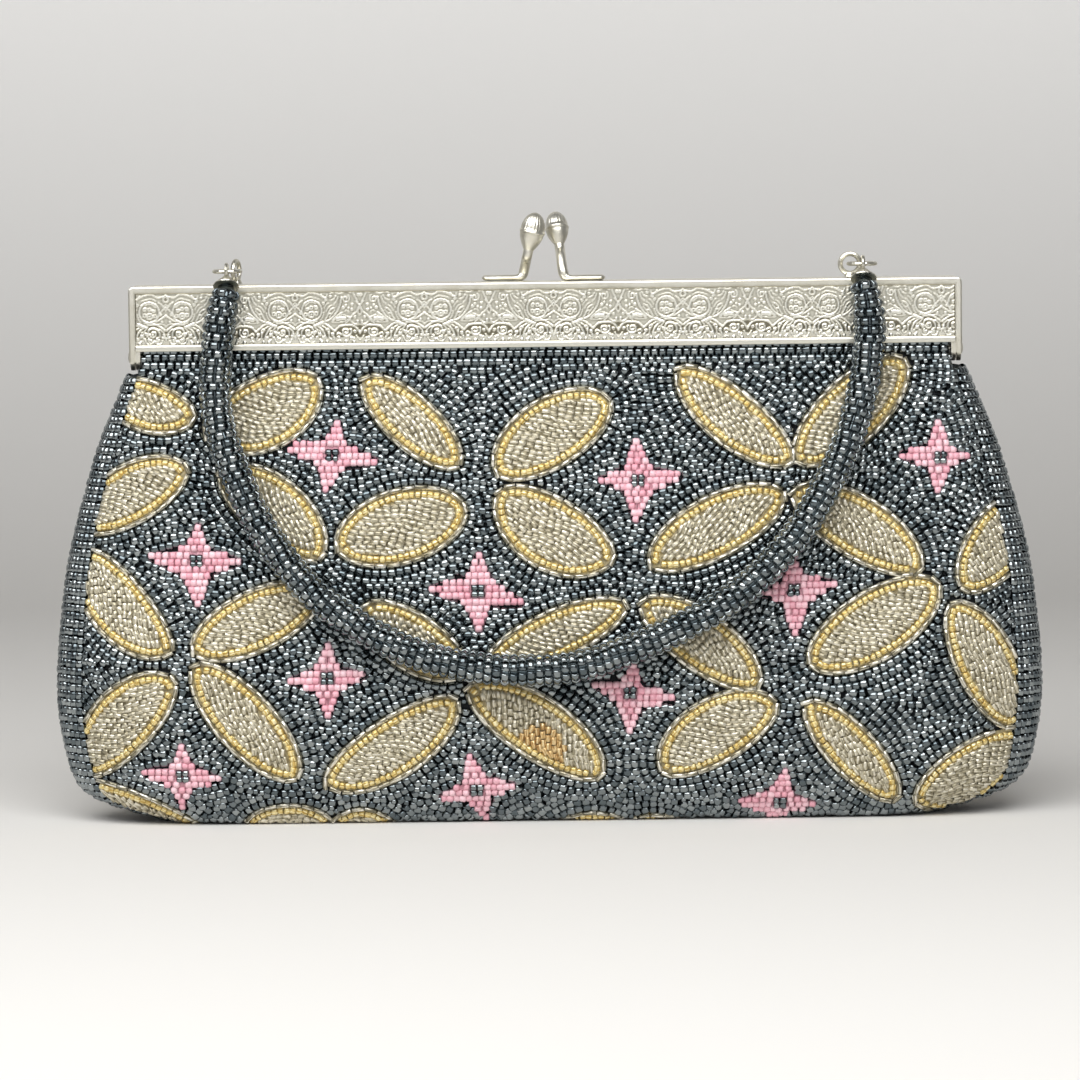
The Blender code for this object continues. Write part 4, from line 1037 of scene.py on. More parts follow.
def beads_tree(material):
    """Strings a lathe-turned bead on each point: its hole follows "along", its side faces "out"."""
    tree = bpy.data.node_groups.new("strung_beads", "GeometryNodeTree")
    tree.is_modifier = True
    tree.interface.new_socket("Places", in_out="INPUT", socket_type="NodeSocketGeometry")
    for name, kind, value in (("Diameter", "Float", BEAD_DIAMETER), ("Length", "Float", BEAD_LENGTH),
                              ("Hole share", "Float", HOLE_SHARE), ("Sides", "Int", BEAD_SIDES),
                              ("Corner share", "Float", CORNER_SHARE)):
        socket = tree.interface.new_socket(name, in_out="INPUT", socket_type="NodeSocket" + kind)
        socket.default_value = value
    tree.interface.new_socket("Beads", in_out="OUTPUT", socket_type="NodeSocketGeometry")
    given = add_node(tree, "NodeGroupInput").outputs
    radius = add_math(tree, "MULTIPLY", given["Diameter"], 0.5)
    hole = add_math(tree, "MULTIPLY", radius, given["Hole share"])
    half = add_math(tree, "MULTIPLY", given["Length"], 0.5)
    brow = add_math(tree, "MULTIPLY", half, given["Corner share"])
    middle = add_math(tree, "MULTIPLY", add_math(tree, "ADD", radius, hole), 0.5)
    wall = add_math(tree, "SUBTRACT", radius, middle)
    # The wall's section, in order round it: a point in the hole, then the two ends and shoulders
    corners = ((add_math(tree, "MULTIPLY", wall, -1.0), None), (None, add_math(tree, "MULTIPLY", half, -1.0)),
               (wall, add_math(tree, "MULTIPLY", brow, -1.0)), (wall, brow), (None, half))
    section = made(tree, "GeometryNodeCurvePrimitiveCircle", {"Resolution": len(corners), "Radius": 1.0},
                   mode="RADIUS")
    index = made(tree, "GeometryNodeInputIndex")
    for number, (x, y) in enumerate(corners):
        chosen = made(tree, "FunctionNodeCompare", {3: number}, {2: index}, data_type="INT",
                      operation="EQUAL")
        known = {key: socket for key, socket in (("X", x), ("Y", y)) if socket}
        place = made(tree, "ShaderNodeCombineXYZ", None, known)
        section = made(tree, "GeometryNodeSetPosition", None,
                       {"Geometry": section, "Selection": chosen, "Position": place})
    ring = made(tree, "GeometryNodeCurvePrimitiveCircle", None,
                {"Radius": middle, "Resolution": given["Sides"]}, mode="RADIUS")
    bead = made(tree, "GeometryNodeCurveToMesh", None, {"Curve": ring, "Profile Curve": section})
    bead = made(tree, "GeometryNodeSetShadeSmooth", {"Shade Smooth": True}, {"Geometry": bead})
    here = made(tree, "GeometryNodeInputPosition")
    bead = made(tree, "GeometryNodeStoreNamedAttribute", {"Name": "local"}, {"Geometry": bead, "Value": here},
                data_type="FLOAT_VECTOR", domain="POINT")
    along, out, size = (made(tree, "GeometryNodeInputNamedAttribute", {"Name": name},
                             data_type="FLOAT_VECTOR") for name in ("along", "out", "size"))
    turn = made(tree, "FunctionNodeAlignRotationToVector", None, {"Vector": along}, axis="Z")
    turn = made(tree, "FunctionNodeAlignRotationToVector", None, {"Rotation": turn, "Vector": out},
                axis="X", pivot_axis="Z")
    dots = made(tree, "GeometryNodeMeshToPoints", None, {"Mesh": given["Places"]})
    strung = made(tree, "GeometryNodeInstanceOnPoints", None,
                  {"Points": dots, "Instance": bead, "Rotation": turn, "Scale": size})
    solid = made(tree, "GeometryNodeRealizeInstances", None, {"Geometry": strung})
    coated = made(tree, "GeometryNodeSetMaterial", {"Material": material}, {"Geometry": solid})
    add_node(tree, "NodeGroupOutput", None, {0: coated})
    return tree


def set_inputs(modifier, values):
    """Give a Geometry Nodes modifier its values, by its sockets' identifiers."""
    for item in modifier.node_group.interface.items_tree:
        if item.item_type == "SOCKET" and item.in_out == "INPUT" and item.name in values:
            modifier[item.identifier] = values[item.name]


def applied(piece, name):
    """A plain mesh object from a piece's evaluated modifiers; the piece itself is removed."""
    graph = bpy.context.evaluated_depsgraph_get()
    mesh = bpy.data.meshes.new_from_object(piece.evaluated_get(graph), depsgraph=graph)
    mesh.name = name
    source = piece.data
    bpy.data.objects.remove(piece)
    bpy.data.meshes.remove(source)
    return link_into(bpy.data.objects.new(name, mesh))


def string_beads(name, beads, tree, **values):
    """One plain mesh of beads, from their places, directions, sizes and tints."""
    source = bpy.data.meshes.new(name + "_places")
    source.from_pydata([tuple(bead[0]) for bead in beads], [], [])
    for index, key in ((1, "along"), (2, "out"), (3, "size")):
        layer = source.attributes.new(key, "FLOAT_VECTOR", "POINT")
        layer.data.foreach_set("vector", [v for bead in beads for v in bead[index]])
    tint = source.attributes.new("tint", "FLOAT", "POINT")
    tint.data.foreach_set("value", [bead[4] for bead in beads])
    holder = link_into(bpy.data.objects.new(name + "_places", source))
    modifier = holder.modifiers.new("beads", "NODES")
    modifier.node_group = tree
    set_inputs(modifier, values)
    return applied(holder, name)


def lengths_along(line):
    """The length of a line of vectors up to each of them."""
    runs = [0.0]
    for here, after in zip(line, line[1:]):
        runs.append(runs[-1] + (after - here).length)
    return runs


def smooth_line(route, step):
    """Points about one step apart on a smooth curve through the route's points."""
    route = [Vector(point) for point in route]
    line = []
    padded = [route[0] * 2 - route[1], *route, route[-1] * 2 - route[-2]]
    for p0, p1, p2, p3 in zip(padded, padded[1:], padded[2:], padded[3:]):
        for i in range(ROUTE_FINENESS):
            t = i / ROUTE_FINENESS
            line.append(0.5 * (2 * p1 + (p2 - p0) * t + (2 * p0 - 5 * p1 + 4 * p2 - p3) * t * t
                               + (3 * p1 - 3 * p2 + p3 - p0) * t ** 3))
    line.append(route[-1])
    runs = lengths_along(line)
    count = max(2, round(runs[-1] / step))
    places = np.linspace(0.0, runs[-1], count + 1)
    coordinates = np.array(line)
    return [Vector([float(np.interp(place, runs, coordinates[:, k])) for k in range(3)]) for place in places]


def line_frames(points):
    """The direction and two cross directions at each point of a line, without twist."""
    frames = []
    side = Vector((0.0, -1.0, 0.0))
    for i, point in enumerate(points):
        ahead = (points[min(i + 1, len(points) - 1)] - points[max(i - 1, 0)]).normalized()
        side = (side - ahead * side.dot(ahead)).normalized()
        frames.append((point, ahead, side, ahead.cross(side).normalized()))
    return frames


def ring_directions(side, other, count, start=0.0):
    """Directions evenly round a circle, given two across each other."""
    angles = [start + math.tau * j / count for j in range(count)]
    return [side * math.cos(angle) + other * math.sin(angle) for angle in angles]


def make_rope(tree):
    """Bead rings sewn side by side round a cotton core; also its middle line and its length."""
    ends = [Vector((side * CAP_X, *HANDLE_AXIS[1:])) + CAP_DIRECTION * CAP_REACH for side in (-1, 1)]
    inner = [end + CAP_DIRECTION * CAP_SINK for end in ends]
    path = smooth_line([ends[0], inner[0], *ROPE_ROUTE, inner[1], ends[1]], ROW_PITCH)
    ring_radius = ROPE_DIAMETER / 2 - ROPE_BEAD_DIAMETER / 2
    rng = random.Random(SEED)
    beads, core_points = [], []
    last = len(path) - 1
    for i, (point, ahead, side, other) in enumerate(line_frames(path)):
        taper = (1 - ROPE_END_SHARE) * min(i, last - i) * ROW_PITCH / ROPE_TAPER_RUN
        radius = ring_radius * min(1.0, ROPE_END_SHARE + taper)
        core_points += [point + out * radius for out in ring_directions(side, other, CORE_SIDES)]
        if i in (0, last):
            continue
        count = max(LEAST_BEADS, round(math.tau * radius / ROPE_BEAD_LENGTH))
        turn = rng.random() * math.tau
        for out, along in zip(ring_directions(side, other, count, turn),
                              ring_directions(other, -side, count, turn)):
            swell = 1 + rng.uniform(-SIZE_SPREAD, SIZE_SPREAD)
            beads.append((point + out * radius, along, out, (swell, swell, 1.0), rng.random()))
    core_faces = tube_faces(last + 1, CORE_SIDES)
    core_faces.append(list(range(CORE_SIDES))[::-1])
    core_faces.append([last * CORE_SIDES + j for j in range(CORE_SIDES)])
    core = round_solid("rope_core", core_points, core_faces, cloth_material)
    rope = string_beads("beaded_rope", beads, tree, Diameter=ROPE_BEAD_DIAMETER, Length=ROPE_BEAD_LENGTH)
    joined = bmesh.new()
    joined.from_mesh(rope.data)
    start = len(joined.faces)
    joined.from_mesh(core.data)
    joined.faces.ensure_lookup_table()
    for face in joined.faces[start:]:
        face.material_index = 1
    joined.to_mesh(rope.data)
    joined.free()
    rope.data.materials.append(cloth_material)
    bpy.data.objects.remove(core)
    return rope, path, sum((b - a).length for a, b in zip(path, path[1:]))


ground_tree = beads_tree(gunmetal_glass)
rope, rope_path, rope_length = make_rope(ground_tree)


def sewn(a, b, ahead, rng, diameter, rear=False, tilt=TILT_SPREAD):
    """Place and directions of a bead sewn on the skin, its outer side flush with the skin."""
    point, across, down, out = skin_frame(a, b)
    ahead += rng.gauss(0.0, tilt * TURN_SHARE)
    along = across * math.cos(ahead) + down * math.sin(ahead)
    along = (along + out * rng.gauss(0.0, tilt)).normalized()
    point = point - out * (diameter / 2 + rng.uniform(0.0, SINK_SPREAD))
    steep = abs(along.z)
    reach = steep * LENGTH_OF.get(diameter, diameter) * (1 + LENGTH_SPREAD)
    point.z = max(point.z, (reach + math.sqrt(1 - min(1.0, steep) ** 2) * diameter) / 2 * (1 + SIZE_SPREAD))
    if rear:
        point.y, along.y, out.y = -point.y, -along.y, -out.y
    swell = 1 + rng.uniform(-SIZE_SPREAD, SIZE_SPREAD)
    long = 1 + rng.uniform(-LENGTH_SPREAD, LENGTH_SPREAD)
    return point, along, out, (swell, swell, swell * long), rng.random()


def side_bead(a, b, ahead, side, rng):
    """A bead on an end: across is measured from the end's middle line, positive behind."""
    end = float(np.interp(b, DOWN, RING_END))
    return sewn(side * (end - abs(a)), b, math.pi - ahead if a > 0 else ahead, rng, BEAD_DIAMETER, a > 0)


gold_tree, clear_tree, amber_tree, pink_tree, bugle_tree = (
    beads_tree(glass) for glass in (gold_glass, clear_glass, amber_glass, pink_glass, bugle_glass))
GROUND, SLITS = ground_places()
BUGLES, GOLD, FILL, PINK, HEARTS = motif_places()
SIDE_BEADS = side_places()
# Padding under the motifs: inside their outlines, at this depth under the skin
PADDING_INSET, PADDING_DEPTH, PADDING_STEP, PADDING_RINGS = 0.0006, 0.00094, 0.0010, 8


def motif_padding(name, rear):
    """Padding under every leaf and flower of a panel, in rings round each motif's middle."""
    points, faces, pink_faces = [], [], []
    for number, outline in enumerate(MOTIFS):
        ring = evenly(moved_out(outline, -PADDING_INSET), PADDING_STEP)
        middle = ring.mean(axis=0)
        kind = faces if number < len(LEAVES) else pink_faces
        kind += [[len(points) + corner for corner in quad]
                 for quad in tube_faces(PADDING_RINGS + 1, len(ring))]
        for k in range(PADDING_RINGS + 1):
            for a, b in middle + (ring - middle) * (k / PADDING_RINGS):
                b = min(b, BASE_MIDDLE - PADDING_INSET)
                wide = seam_at(b) - SEAM_GAP
                points.append(cloth_point(min(max(a, -wide), wide), b, PADDING_DEPTH, rear))
    piece = mesh_object(name, points, faces + pink_faces, [leaf_padding, pink_padding])
    piece.data.polygons.foreach_set("material_index", [0] * len(faces) + [1] * len(pink_faces))
    return piece


def make_panel_beads(word, rear):
    """All bead pieces of the front or the rear."""
    rng = random.Random(SEED + 2 + rear)
    ground = [sewn(*place, rng, BEAD_DIAMETER, rear) + (place[0],) for place in GROUND]
    for small, share in ((HEARTS, HEART_BEAD_SHARE), (SLITS, SLIT_BEAD_SHARE)):
        for place in small:
            point, along, out, size, tint = sewn(*place, rng, BEAD_DIAMETER * share, rear)
            ground.append((point, along, out, tuple(v * share for v in size), tint, place[0]))
    thirds = {"left": [], "middle": [], "right": []}
    for *bead, a in ground:
        thirds["left" if a < -PANEL_SPLIT else "right" if a > PANEL_SPLIT else "middle"].append(bead)
    pieces = [string_beads(f"{word}_ground_beads_{third}", beads, ground_tree)
              for third, beads in thirds.items()]
    amber_place = np.array(place_of_pixel(*AMBER_PX[:2]))
    amber_reach = AMBER_PX[2] * VIEW_WIDTH / PHOTO_PIXELS
    clear, amber = [], []
    for a, b, ahead, number in FILL:
        is_amber = number == AMBER_LEAF and np.hypot(*(np.array([a, b]) - amber_place)) < amber_reach
        (amber if is_amber else clear).append(sewn(a, b, ahead, rng, FILL_DIAMETER, rear, CUT_TILT))

    def add_piece(kind, beads, tree, diameter, **values):
        values.update({"Diameter": diameter, "Length": LENGTH_OF[diameter]})
        pieces.append(string_beads(f"{word}_{kind}", beads, tree, **values))

    for kind, beads, tree in (("fill_beads", clear, clear_tree), ("amber_beads", amber, amber_tree)):
        add_piece(kind, beads, tree, FILL_DIAMETER, **{"Sides": CUT_SIDES, "Corner share": CUT_CORNER_SHARE})
    for kind, places, tree, diameter in (("gold_beads", GOLD, gold_tree, GOLD_DIAMETER),
                                         ("pink_beads", PINK, pink_tree, PINK_DIAMETER)):
        add_piece(kind, [sewn(*place[:3], rng, diameter, rear) for place in places], tree, diameter)
    bugles = [sewn(*place[:3], rng, BUGLE_DIAMETER, rear, 0.0) for place in BUGLES]
    add_piece("bugles", bugles, bugle_tree, BUGLE_DIAMETER,
              **{"Sides": CUT_SIDES, "Corner share": BUGLE_CORNER_SHARE})
    pieces.append(motif_padding(word + "_motif_padding", rear))
    return pieces


front_beads = make_panel_beads("front", False)
rear_beads = make_panel_beads("rear", True)
side_rng = random.Random(SEED + 9)
side_beads = [string_beads("side_beads_" + word, [side_bead(*place, side, side_rng) for place in SIDE_BEADS],
                           ground_tree) for word, side in SIDES]

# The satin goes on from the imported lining's mouth up to the frame, as a facing behind the beads
satin = woven_material("grey_satin", "#716e74", "#8b888e", 0.34, 0.0004, 0.25)
lining_piece = link_into(bpy.data.objects.new("satin_lining", NODES["lining"].data.copy()))
lining_piece.data.materials.clear()
lining_piece.data.materials.append(satin)
face_outwards(lining_piece)
facing_end = down_at(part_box("lining")[1].z - FACING_OVERLAP)
front_facing = panel_cloth("front_satin_facing", False, satin, FACING_DEPTHS, facing_end)
rear_facing = panel_cloth("rear_satin_facing", True, satin, FACING_DEPTHS, facing_end)
side_facings = [side_cloth("side_satin_facing_" + word, side, satin, FACING_DEPTHS, facing_end)
                for word, side in SIDES]

# Silver plate dulled by wear, with faint yellowed patches
aged_silver = textured_material("aged_silver_plate", "#dad6c7", "#e9e6da", 0.33, 1.0, 230.0, 0.08, 0.05)
# Wire and rivets: brighter, with dull patches where they rub
bright_silver = textured_material("polished_silver_plate", "#ccc8b8", "#dedbcf", 0.26, 1.0, 300.0, 0.06, 0.06)
EMBOSSED = ("front_frame", "rear_frame", "front_clasp_knob", "rear_clasp_knob")
for node_name, node in NODES.items():
    node.data.materials.clear()
    node.data.materials.append(aged_silver if node_name in EMBOSSED else bright_silver)


# Clasp: bent wires with flattened feet, and acorn knobs that lean together. Each has its body, its side
# of the bag and its half: the front half's knob is the right one. Values by side are the right and left
ARMS = (("front_clasp_arm", "front_clasp_knob", "bag", 1, -1),
        ("rear_clasp_arm", "rear_clasp_knob", "rear_half", -1, 1))
WIRE_RADIUS = 0.00120
WIRE_SIDES = 20
FOOT_Y = 0.0034
FOOT_END_X = {1: 0.0144, -1: 0.0151}
KNEE_X = {1: 0.0043, -1: 0.0049}
FOOT_FLATNESS, FOOT_SPREAD, FLATTEN_RUN = 0.42, 0.30, 0.0018
# How blunt the foot's rounded end starts
BLUNTNESS = 0.08
# The knee's places: wire radii outwards from it and up from the foot, and their distance from the middle
KNEE_PLACES = ((1.7, 0.0, 1.0), (0.5, 0.3, 1.0), (0.0, 1.5, 0.95))
# How near the stem is to the knob, and the wire's reach into the knob by its radius
STEM_SHARE, KNOB_REACH = 0.55, 1.2
CLASP_CLEARANCE = 0.0001
KNOB_BASE_X = {1: 0.0036, -1: 0.0039}
KNOB_TOP_X = {1: 0.0024, -1: 0.0018}
KNOB_BASE_RISE = {1: 0.0083, -1: 0.0071}
KNOB_HEIGHT = 0.0093
KNOB_CROSSING = 0.0012
KNOB_CROSS_LEAN = {1: math.radians(24.0), -1: math.radians(4.0)}
KNOB_SIZE = {1: 0.95, -1: 1.02}
KNOB_SIDES, KNOB_FLUTES, FLUTE_DEPTH = 88, 22, 0.00009
# Distance from the knob's base and radius: collar, cup, ribbon, fluted dome and blunt tip
KNOB_PROFILE = (
    (0.0, 0.0), (0.0, 0.00100), (0.0003, 0.00118), (0.0008, 0.00146), (0.0015, 0.00188), (0.0023, 0.00230),
    (0.0031, 0.00262), (0.0038, 0.00278), (0.0043, 0.00282), (0.0044, 0.00294), (0.0047, 0.00302),
    (0.0050, 0.00294), (0.0051, 0.00278), (0.0058, 0.00274), (0.0066, 0.00258), (0.0073, 0.00234),
    (0.0079, 0.00202), (0.0084, 0.00164), (0.0088, 0.00120), (0.0091, 0.00072), (0.0093, 0.0),
)
DOME_START, DOME_RADIUS = 0.0051, 0.00294
frame_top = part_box("front_frame")[1].z


def turned(name, start, direction, size, material):
    """A turned knob along a direction; its dome is fluted."""
    side = direction.orthogonal().normalized()
    other = direction.cross(side)
    points = []
    for height, radius in KNOB_PROFILE[1:-1]:
        depth = FLUTE_DEPTH * (height > DOME_START) * radius / DOME_RADIUS
        middle = start + direction * height * size
        for j, out in enumerate(ring_directions(side, other, KNOB_SIDES)):
            flute = depth * math.cos(KNOB_FLUTES * math.tau * j / KNOB_SIDES)
            points.append(middle + out * (radius + flute) * size)
    rows = len(KNOB_PROFILE) - 2
    faces = tube_faces(rows, KNOB_SIDES)
    for height, row in ((KNOB_PROFILE[0][0], 0), (KNOB_PROFILE[-1][0], rows - 1)):
        points.append(start + direction * height * size)
        first = row * KNOB_SIDES
        faces += [[len(points) - 1, first + j, first + (j + 1) % KNOB_SIDES] for j in range(KNOB_SIDES)]
    return round_solid(name, points, faces, material)


def bent_wire(name, route, foot, material):
    """A wire along a route from the rounded end of its flattened foot."""
    path = smooth_line(route, WIRE_RADIUS / 3)
    points = []
    for (point, _, side, other), run in zip(line_frames(path), lengths_along(path)):
        flat = min(1.0, max(0.0, 1 - (run - foot) / FLATTEN_RUN))
        ends = math.sqrt(max(0.0, 1 - max(0.0, 1 - run / WIRE_RADIUS) ** 2)) * (1 - BLUNTNESS) + BLUNTNESS
        wide = side * WIRE_RADIUS * (1 + FOOT_SPREAD * flat) * ends
        thick = other * WIRE_RADIUS * (1 - FOOT_FLATNESS * flat) * ends
        points += [point + out for out in ring_directions(wide, thick, WIRE_SIDES)]
    faces = tube_faces(len(path), WIRE_SIDES)
    faces += [list(range(WIRE_SIDES)), list(range(len(points) - WIRE_SIDES, len(points)))]
    return round_solid(name, points, faces, material)


def clasp_arm(side, facing):
    """An arm's route, and its knob's start and direction."""
    foot_z = frame_top + CLASP_CLEARANCE + WIRE_RADIUS * (1 - FOOT_FLATNESS)
    base = Vector((side * KNOB_BASE_X[side], -facing * KNOB_CROSSING, frame_top + KNOB_BASE_RISE[side]))
    lean = side * (KNOB_TOP_X[side] - KNOB_BASE_X[side]) / KNOB_HEIGHT
    direction = Vector((lean, -facing * math.tan(KNOB_CROSS_LEAN[side]), 1.0)).normalized()
    foot_y = facing * FOOT_Y
    end, knee, r = FOOT_END_X[side], KNEE_X[side], WIRE_RADIUS
    stem_x = knee + STEM_SHARE * (KNOB_BASE_X[side] - knee)
    route = [(side * end, foot_y, foot_z), (side * (end + knee) / 2, foot_y, foot_z)]
    route += [(side * (knee + out * r), foot_y * share, foot_z + up * r) for out, up, share in KNEE_PLACES]
    route += [(side * stem_x, (foot_y + base.y) / 2, (foot_z + base.z) / 2 + r),
              base - direction * r, base + direction * KNOB_REACH * r]
    return route, base, direction


clasp_pieces = []
for arm_name, knob_name, body, side, facing in ARMS:
    arm_route, knob_start, knob_direction = clasp_arm(side, facing)
    foot = FOOT_END_X[side] - KNEE_X[side] - KNEE_PLACES[0][0] * WIRE_RADIUS
    arm = bent_wire("bent_wire_" + arm_name, arm_route, foot, aged_silver)
    knob = turned("acorn_" + knob_name, knob_start, knob_direction, KNOB_SIZE[side], aged_silver)
    clasp_pieces += [(arm, arm_name, body, "plain_silver"), (knob, knob_name, body, "embossed_silver")]


# Embossed plates: traditional scrollwork drawn as strokes on half a repeat, in millimetres across from
# its leaf pair and up from the rail, and raised as a relief. The rail under it is plain
MILLIMETRES = 1000
REPEAT, REPEAT_START = 0.0307, 0.0020
PLATE_HALF_WIDTH = 0.0974
RAIL_LOW_Z, RAIL_HIGH_Z, PLATE_HIGH_Z = 0.1128, 0.1142, 0.12665
PLATE_HEIGHT = PLATE_HIGH_Z - RAIL_HIGH_Z
PLATE_BACK, PLATE_TOP_GROUND, PLATE_FOOT_GROUND, RAIL_CREST = 0.0064, 0.00656, 0.00694, 0.00716
RELIEF_HEIGHT, RELIEF_STEP, RELIEF_NOISE = 0.00030, 0.00020, 0.04
# Heights and tones run from 0, the deepest ground, to 1, and noise may raise a height a little more
UPPER_GROUND, RAIL_TONE, FULL_TONE, HIGHEST = 0.45, 0.6, 0.8, 1.1
STROKES_HEIGHT = 12.05
CAVITY_REACH, CAVITY_DARKENING = 2, 2.2
# Rows along the plate's top and columns at its ends that are painted in the darkest tone, as shade of the
# groove beside the rim
GROOVE_SHADE_ROWS = 2
# A stroke: the step between its points, its flat crest and its reach by half width, its least height
STROKE_STEP, STROKE_CREST, STROKE_REACH, STROKE_RISE = 0.07, 0.2, 1.3, 0.75
SCROLL_POINTS, LEAST_POINTS, SCROLL_WIND = 90, 8, 0.82
BAND_EDGE = 0.25
# The rail's section: share of its height, and how far its crest falls back there
RAIL_SECTION = ((0.0, -0.00014), (0.12, -0.00003), (0.3, 0.0), (0.7, 0.0), (0.88, -0.00003), (1.0, -0.00014))
# Where the engraved upper zone ends and the deeper lower band starts
BAND_LINE = ((0.0, 4.3), (1.1, 4.0), (3.3, 4.2), (4.7, 3.9), (6.0, 2.8), (7.6, 4.1), (8.5, 4.6), (10.7, 4.4),
             (12.9, 4.8), (14.3, 4.0), (15.4, 3.2))
# Half width, then the points of a stroke
STROKES = (
    (0.19, 0.0, 2.3, 0.5, 3.1, 1.1, 3.8, 2.2, 4.2, 3.3, 4.15, 4.7, 3.95, 5.5, 3.3, 6.0, 2.8, 6.6, 3.3, 7.6,
     4.1, 8.5, 4.6, 9.9, 4.5, 10.7, 4.2), (0.14, 4.5, 2.0, 5.2, 2.4, 5.5, 2.0),
    (0.13, 4.4, 0.4, 5.0, 0.8, 5.5, 0.4), (0.13, 0.9, 1.7, 0.4, 1.0, 0.0, 0.6),
    (0.20, 8.0, 1.1, 8.4, 2.2, 9.1, 3.3, 10.1, 4.1, 11.0, 4.2),
    (0.15, 10.0, 1.5, 9.9, 2.5, 10.3, 3.4, 10.9, 4.0), (0.13, 8.9, 1.2, 9.1, 2.0, 9.6, 3.1),
    (0.13, 7.3, 1.2, 7.4, 2.2, 7.9, 3.1),
    (0.20, 10.9, 2.0, 11.2, 3.4, 12.0, 3.9, 13.1, 3.7, 13.8, 2.9, 13.9, 2.0),
    (0.16, 10.3, 1.5, 10.6, 0.7, 11.3, 0.2, 12.1, 0.5, 12.6, 0.9, 13.2, 0.3, 14.1, 0.3, 14.6, 1.2),
    (0.18, 13.8, 3.7, 14.7, 3.0, 15.1, 2.0, 15.3, 1.0), (0.16, 15.4, 1.2, 14.9, 1.9, 14.6, 2.5),
    (0.13, 7.1, 3.0, 7.7, 3.4, 8.1, 3.2), (0.13, 8.2, 3.6, 9.1, 4.1, 10.0, 4.3),
    (0.13, 5.9, 1.2, 6.4, 0.7, 7.0, 1.1),
    (0.14, 2.4, 6.0, 3.1, 6.2, 4.1, 6.6, 5.1, 6.1, 6.1, 5.4, 6.7, 5.0, 5.5, 4.9, 4.3, 4.95, 3.5, 5.1, 2.9,
     5.5, 2.4, 6.0), (0.42, 3.6, 5.75, 4.4, 5.8, 5.3, 5.5), (0.16, 4.1, 7.1, 5.3, 6.4, 6.5, 5.4),
    (0.19, 4.3, 10.6, 4.7, 8.8, 5.5, 7.2, 6.5, 6.0, 7.7, 5.2, 8.7, 5.0, 9.4, 4.8),
    (0.17, -0.9, 9.7, 0.1, 8.6, 0.7, 7.4, 1.7, 6.5, 2.4, 5.6, 3.4, 4.6),
    (0.15, 1.6, 11.8, 0.7, 10.0, 0.1, 8.7), (0.13, 0.0, 8.2, 0.5, 7.4, 0.0, 6.4),
    (0.17, 0.5, 5.2, 0.6, 4.5, 1.3, 4.4, 1.8, 4.8), (0.13, 1.8, 4.8, 2.3, 5.4),
    (0.13, 2.5, 7.1, 3.0, 7.6, 3.6, 7.4), (0.13, 2.1, 11.7, 3.4, 11.9, 4.8, 11.4, 5.9, 11.8, 7.0, 11.5),
    (0.13, 5.1, 10.8, 5.6, 9.6, 6.2, 9.0), (0.13, 5.6, 11.0, 6.2, 10.2, 6.9, 9.9),
    (0.15, 6.1, 8.2, 7.1, 7.6, 7.9, 6.0, 8.3, 5.4), (0.12, 6.6, 8.8, 7.4, 8.3, 8.0, 7.4),
    (0.12, 7.3, 9.4, 8.0, 8.9, 8.4, 8.2), (0.13, 8.5, 7.2, 8.8, 6.2, 9.3, 5.4),
    (0.12, 5.9, 7.7, 6.6, 6.9, 7.2, 6.1),
    (0.14, 8.7, 10.7, 10.1, 11.4, 11.9, 11.7, 13.3, 11.0, 14.7, 11.2, 15.4, 11.6),
    (0.15, 7.7, 11.2, 8.1, 10.4, 8.9, 11.0, 9.2, 11.4), (0.15, 10.5, 9.3, 11.2, 9.6, 12.2, 9.4, 12.9, 8.8),
    (0.14, 13.9, 7.4, 14.7, 8.2, 15.4, 8.9), (0.17, 12.9, 5.4, 14.1, 6.0, 15.4, 6.9),
    (0.12, 14.2, 9.6, 14.8, 9.0, 15.4, 9.6), (0.14, 13.6, 9.9, 14.3, 9.4, 15.4, 7.9),
    (0.20, 10.9, 4.7, 12.9, 4.8, 14.3, 4.0, 15.1, 3.4), (0.17, 10.2, 5.1, 11.4, 5.2, 12.5, 5.0),
    (0.13, 13.6, 4.9, 14.6, 4.9, 15.4, 4.2), (0.12, 9.7, 9.4, 9.2, 8.6, 9.0, 7.6),
    (0.12, 9.6, 10.2, 10.7, 10.5, 12.0, 10.7, 13.0, 10.2),
)
# Half width, middle, radius, turns and start of a scroll
SCROLLS = (
    (0.19, 3.3, 2.6, 1.25, 1.5, 2.6), (0.16, 2.0, 1.2, 0.6, 1.1, 3.0), (0.18, 12.3, 2.6, 0.85, 1.3, 3.2),
    (0.16, 11.55, 1.15, 0.62, 1.1, 2.0), (0.16, 13.5, 1.15, 0.62, 1.1, 1.2),
    (0.16, 3.3, 10.3, 0.95, 1.3, 2.2), (0.15, 8.2, 10.1, 0.5, 1.0, 1.0), (0.15, 10.4, 8.2, 0.48, 1.0, 0.6),
    (0.15, 12.5, 8.0, 0.46, 1.0, 2.6), (0.13, 8.45, 1.5, 0.38, 1.1, 2.4), (0.13, 9.5, 2.0, 0.34, 1.1, 0.8),
    (0.12, 7.4, 2.5, 0.30, 1.0, 1.6), (0.13, 5.0, 1.3, 0.34, 1.1, 0.5), (0.12, 6.3, 1.4, 0.24, 1.0, 2.0),
    (0.12, 9.4, 0.9, 0.28, 1.0, 3.4), (0.13, 14.6, 1.7, 0.30, 1.0, 1.0), (0.12, 1.2, 2.6, 0.34, 1.0, 0.2),
    (0.12, 10.6, 2.6, 0.30, 1.0, 2.0),
)
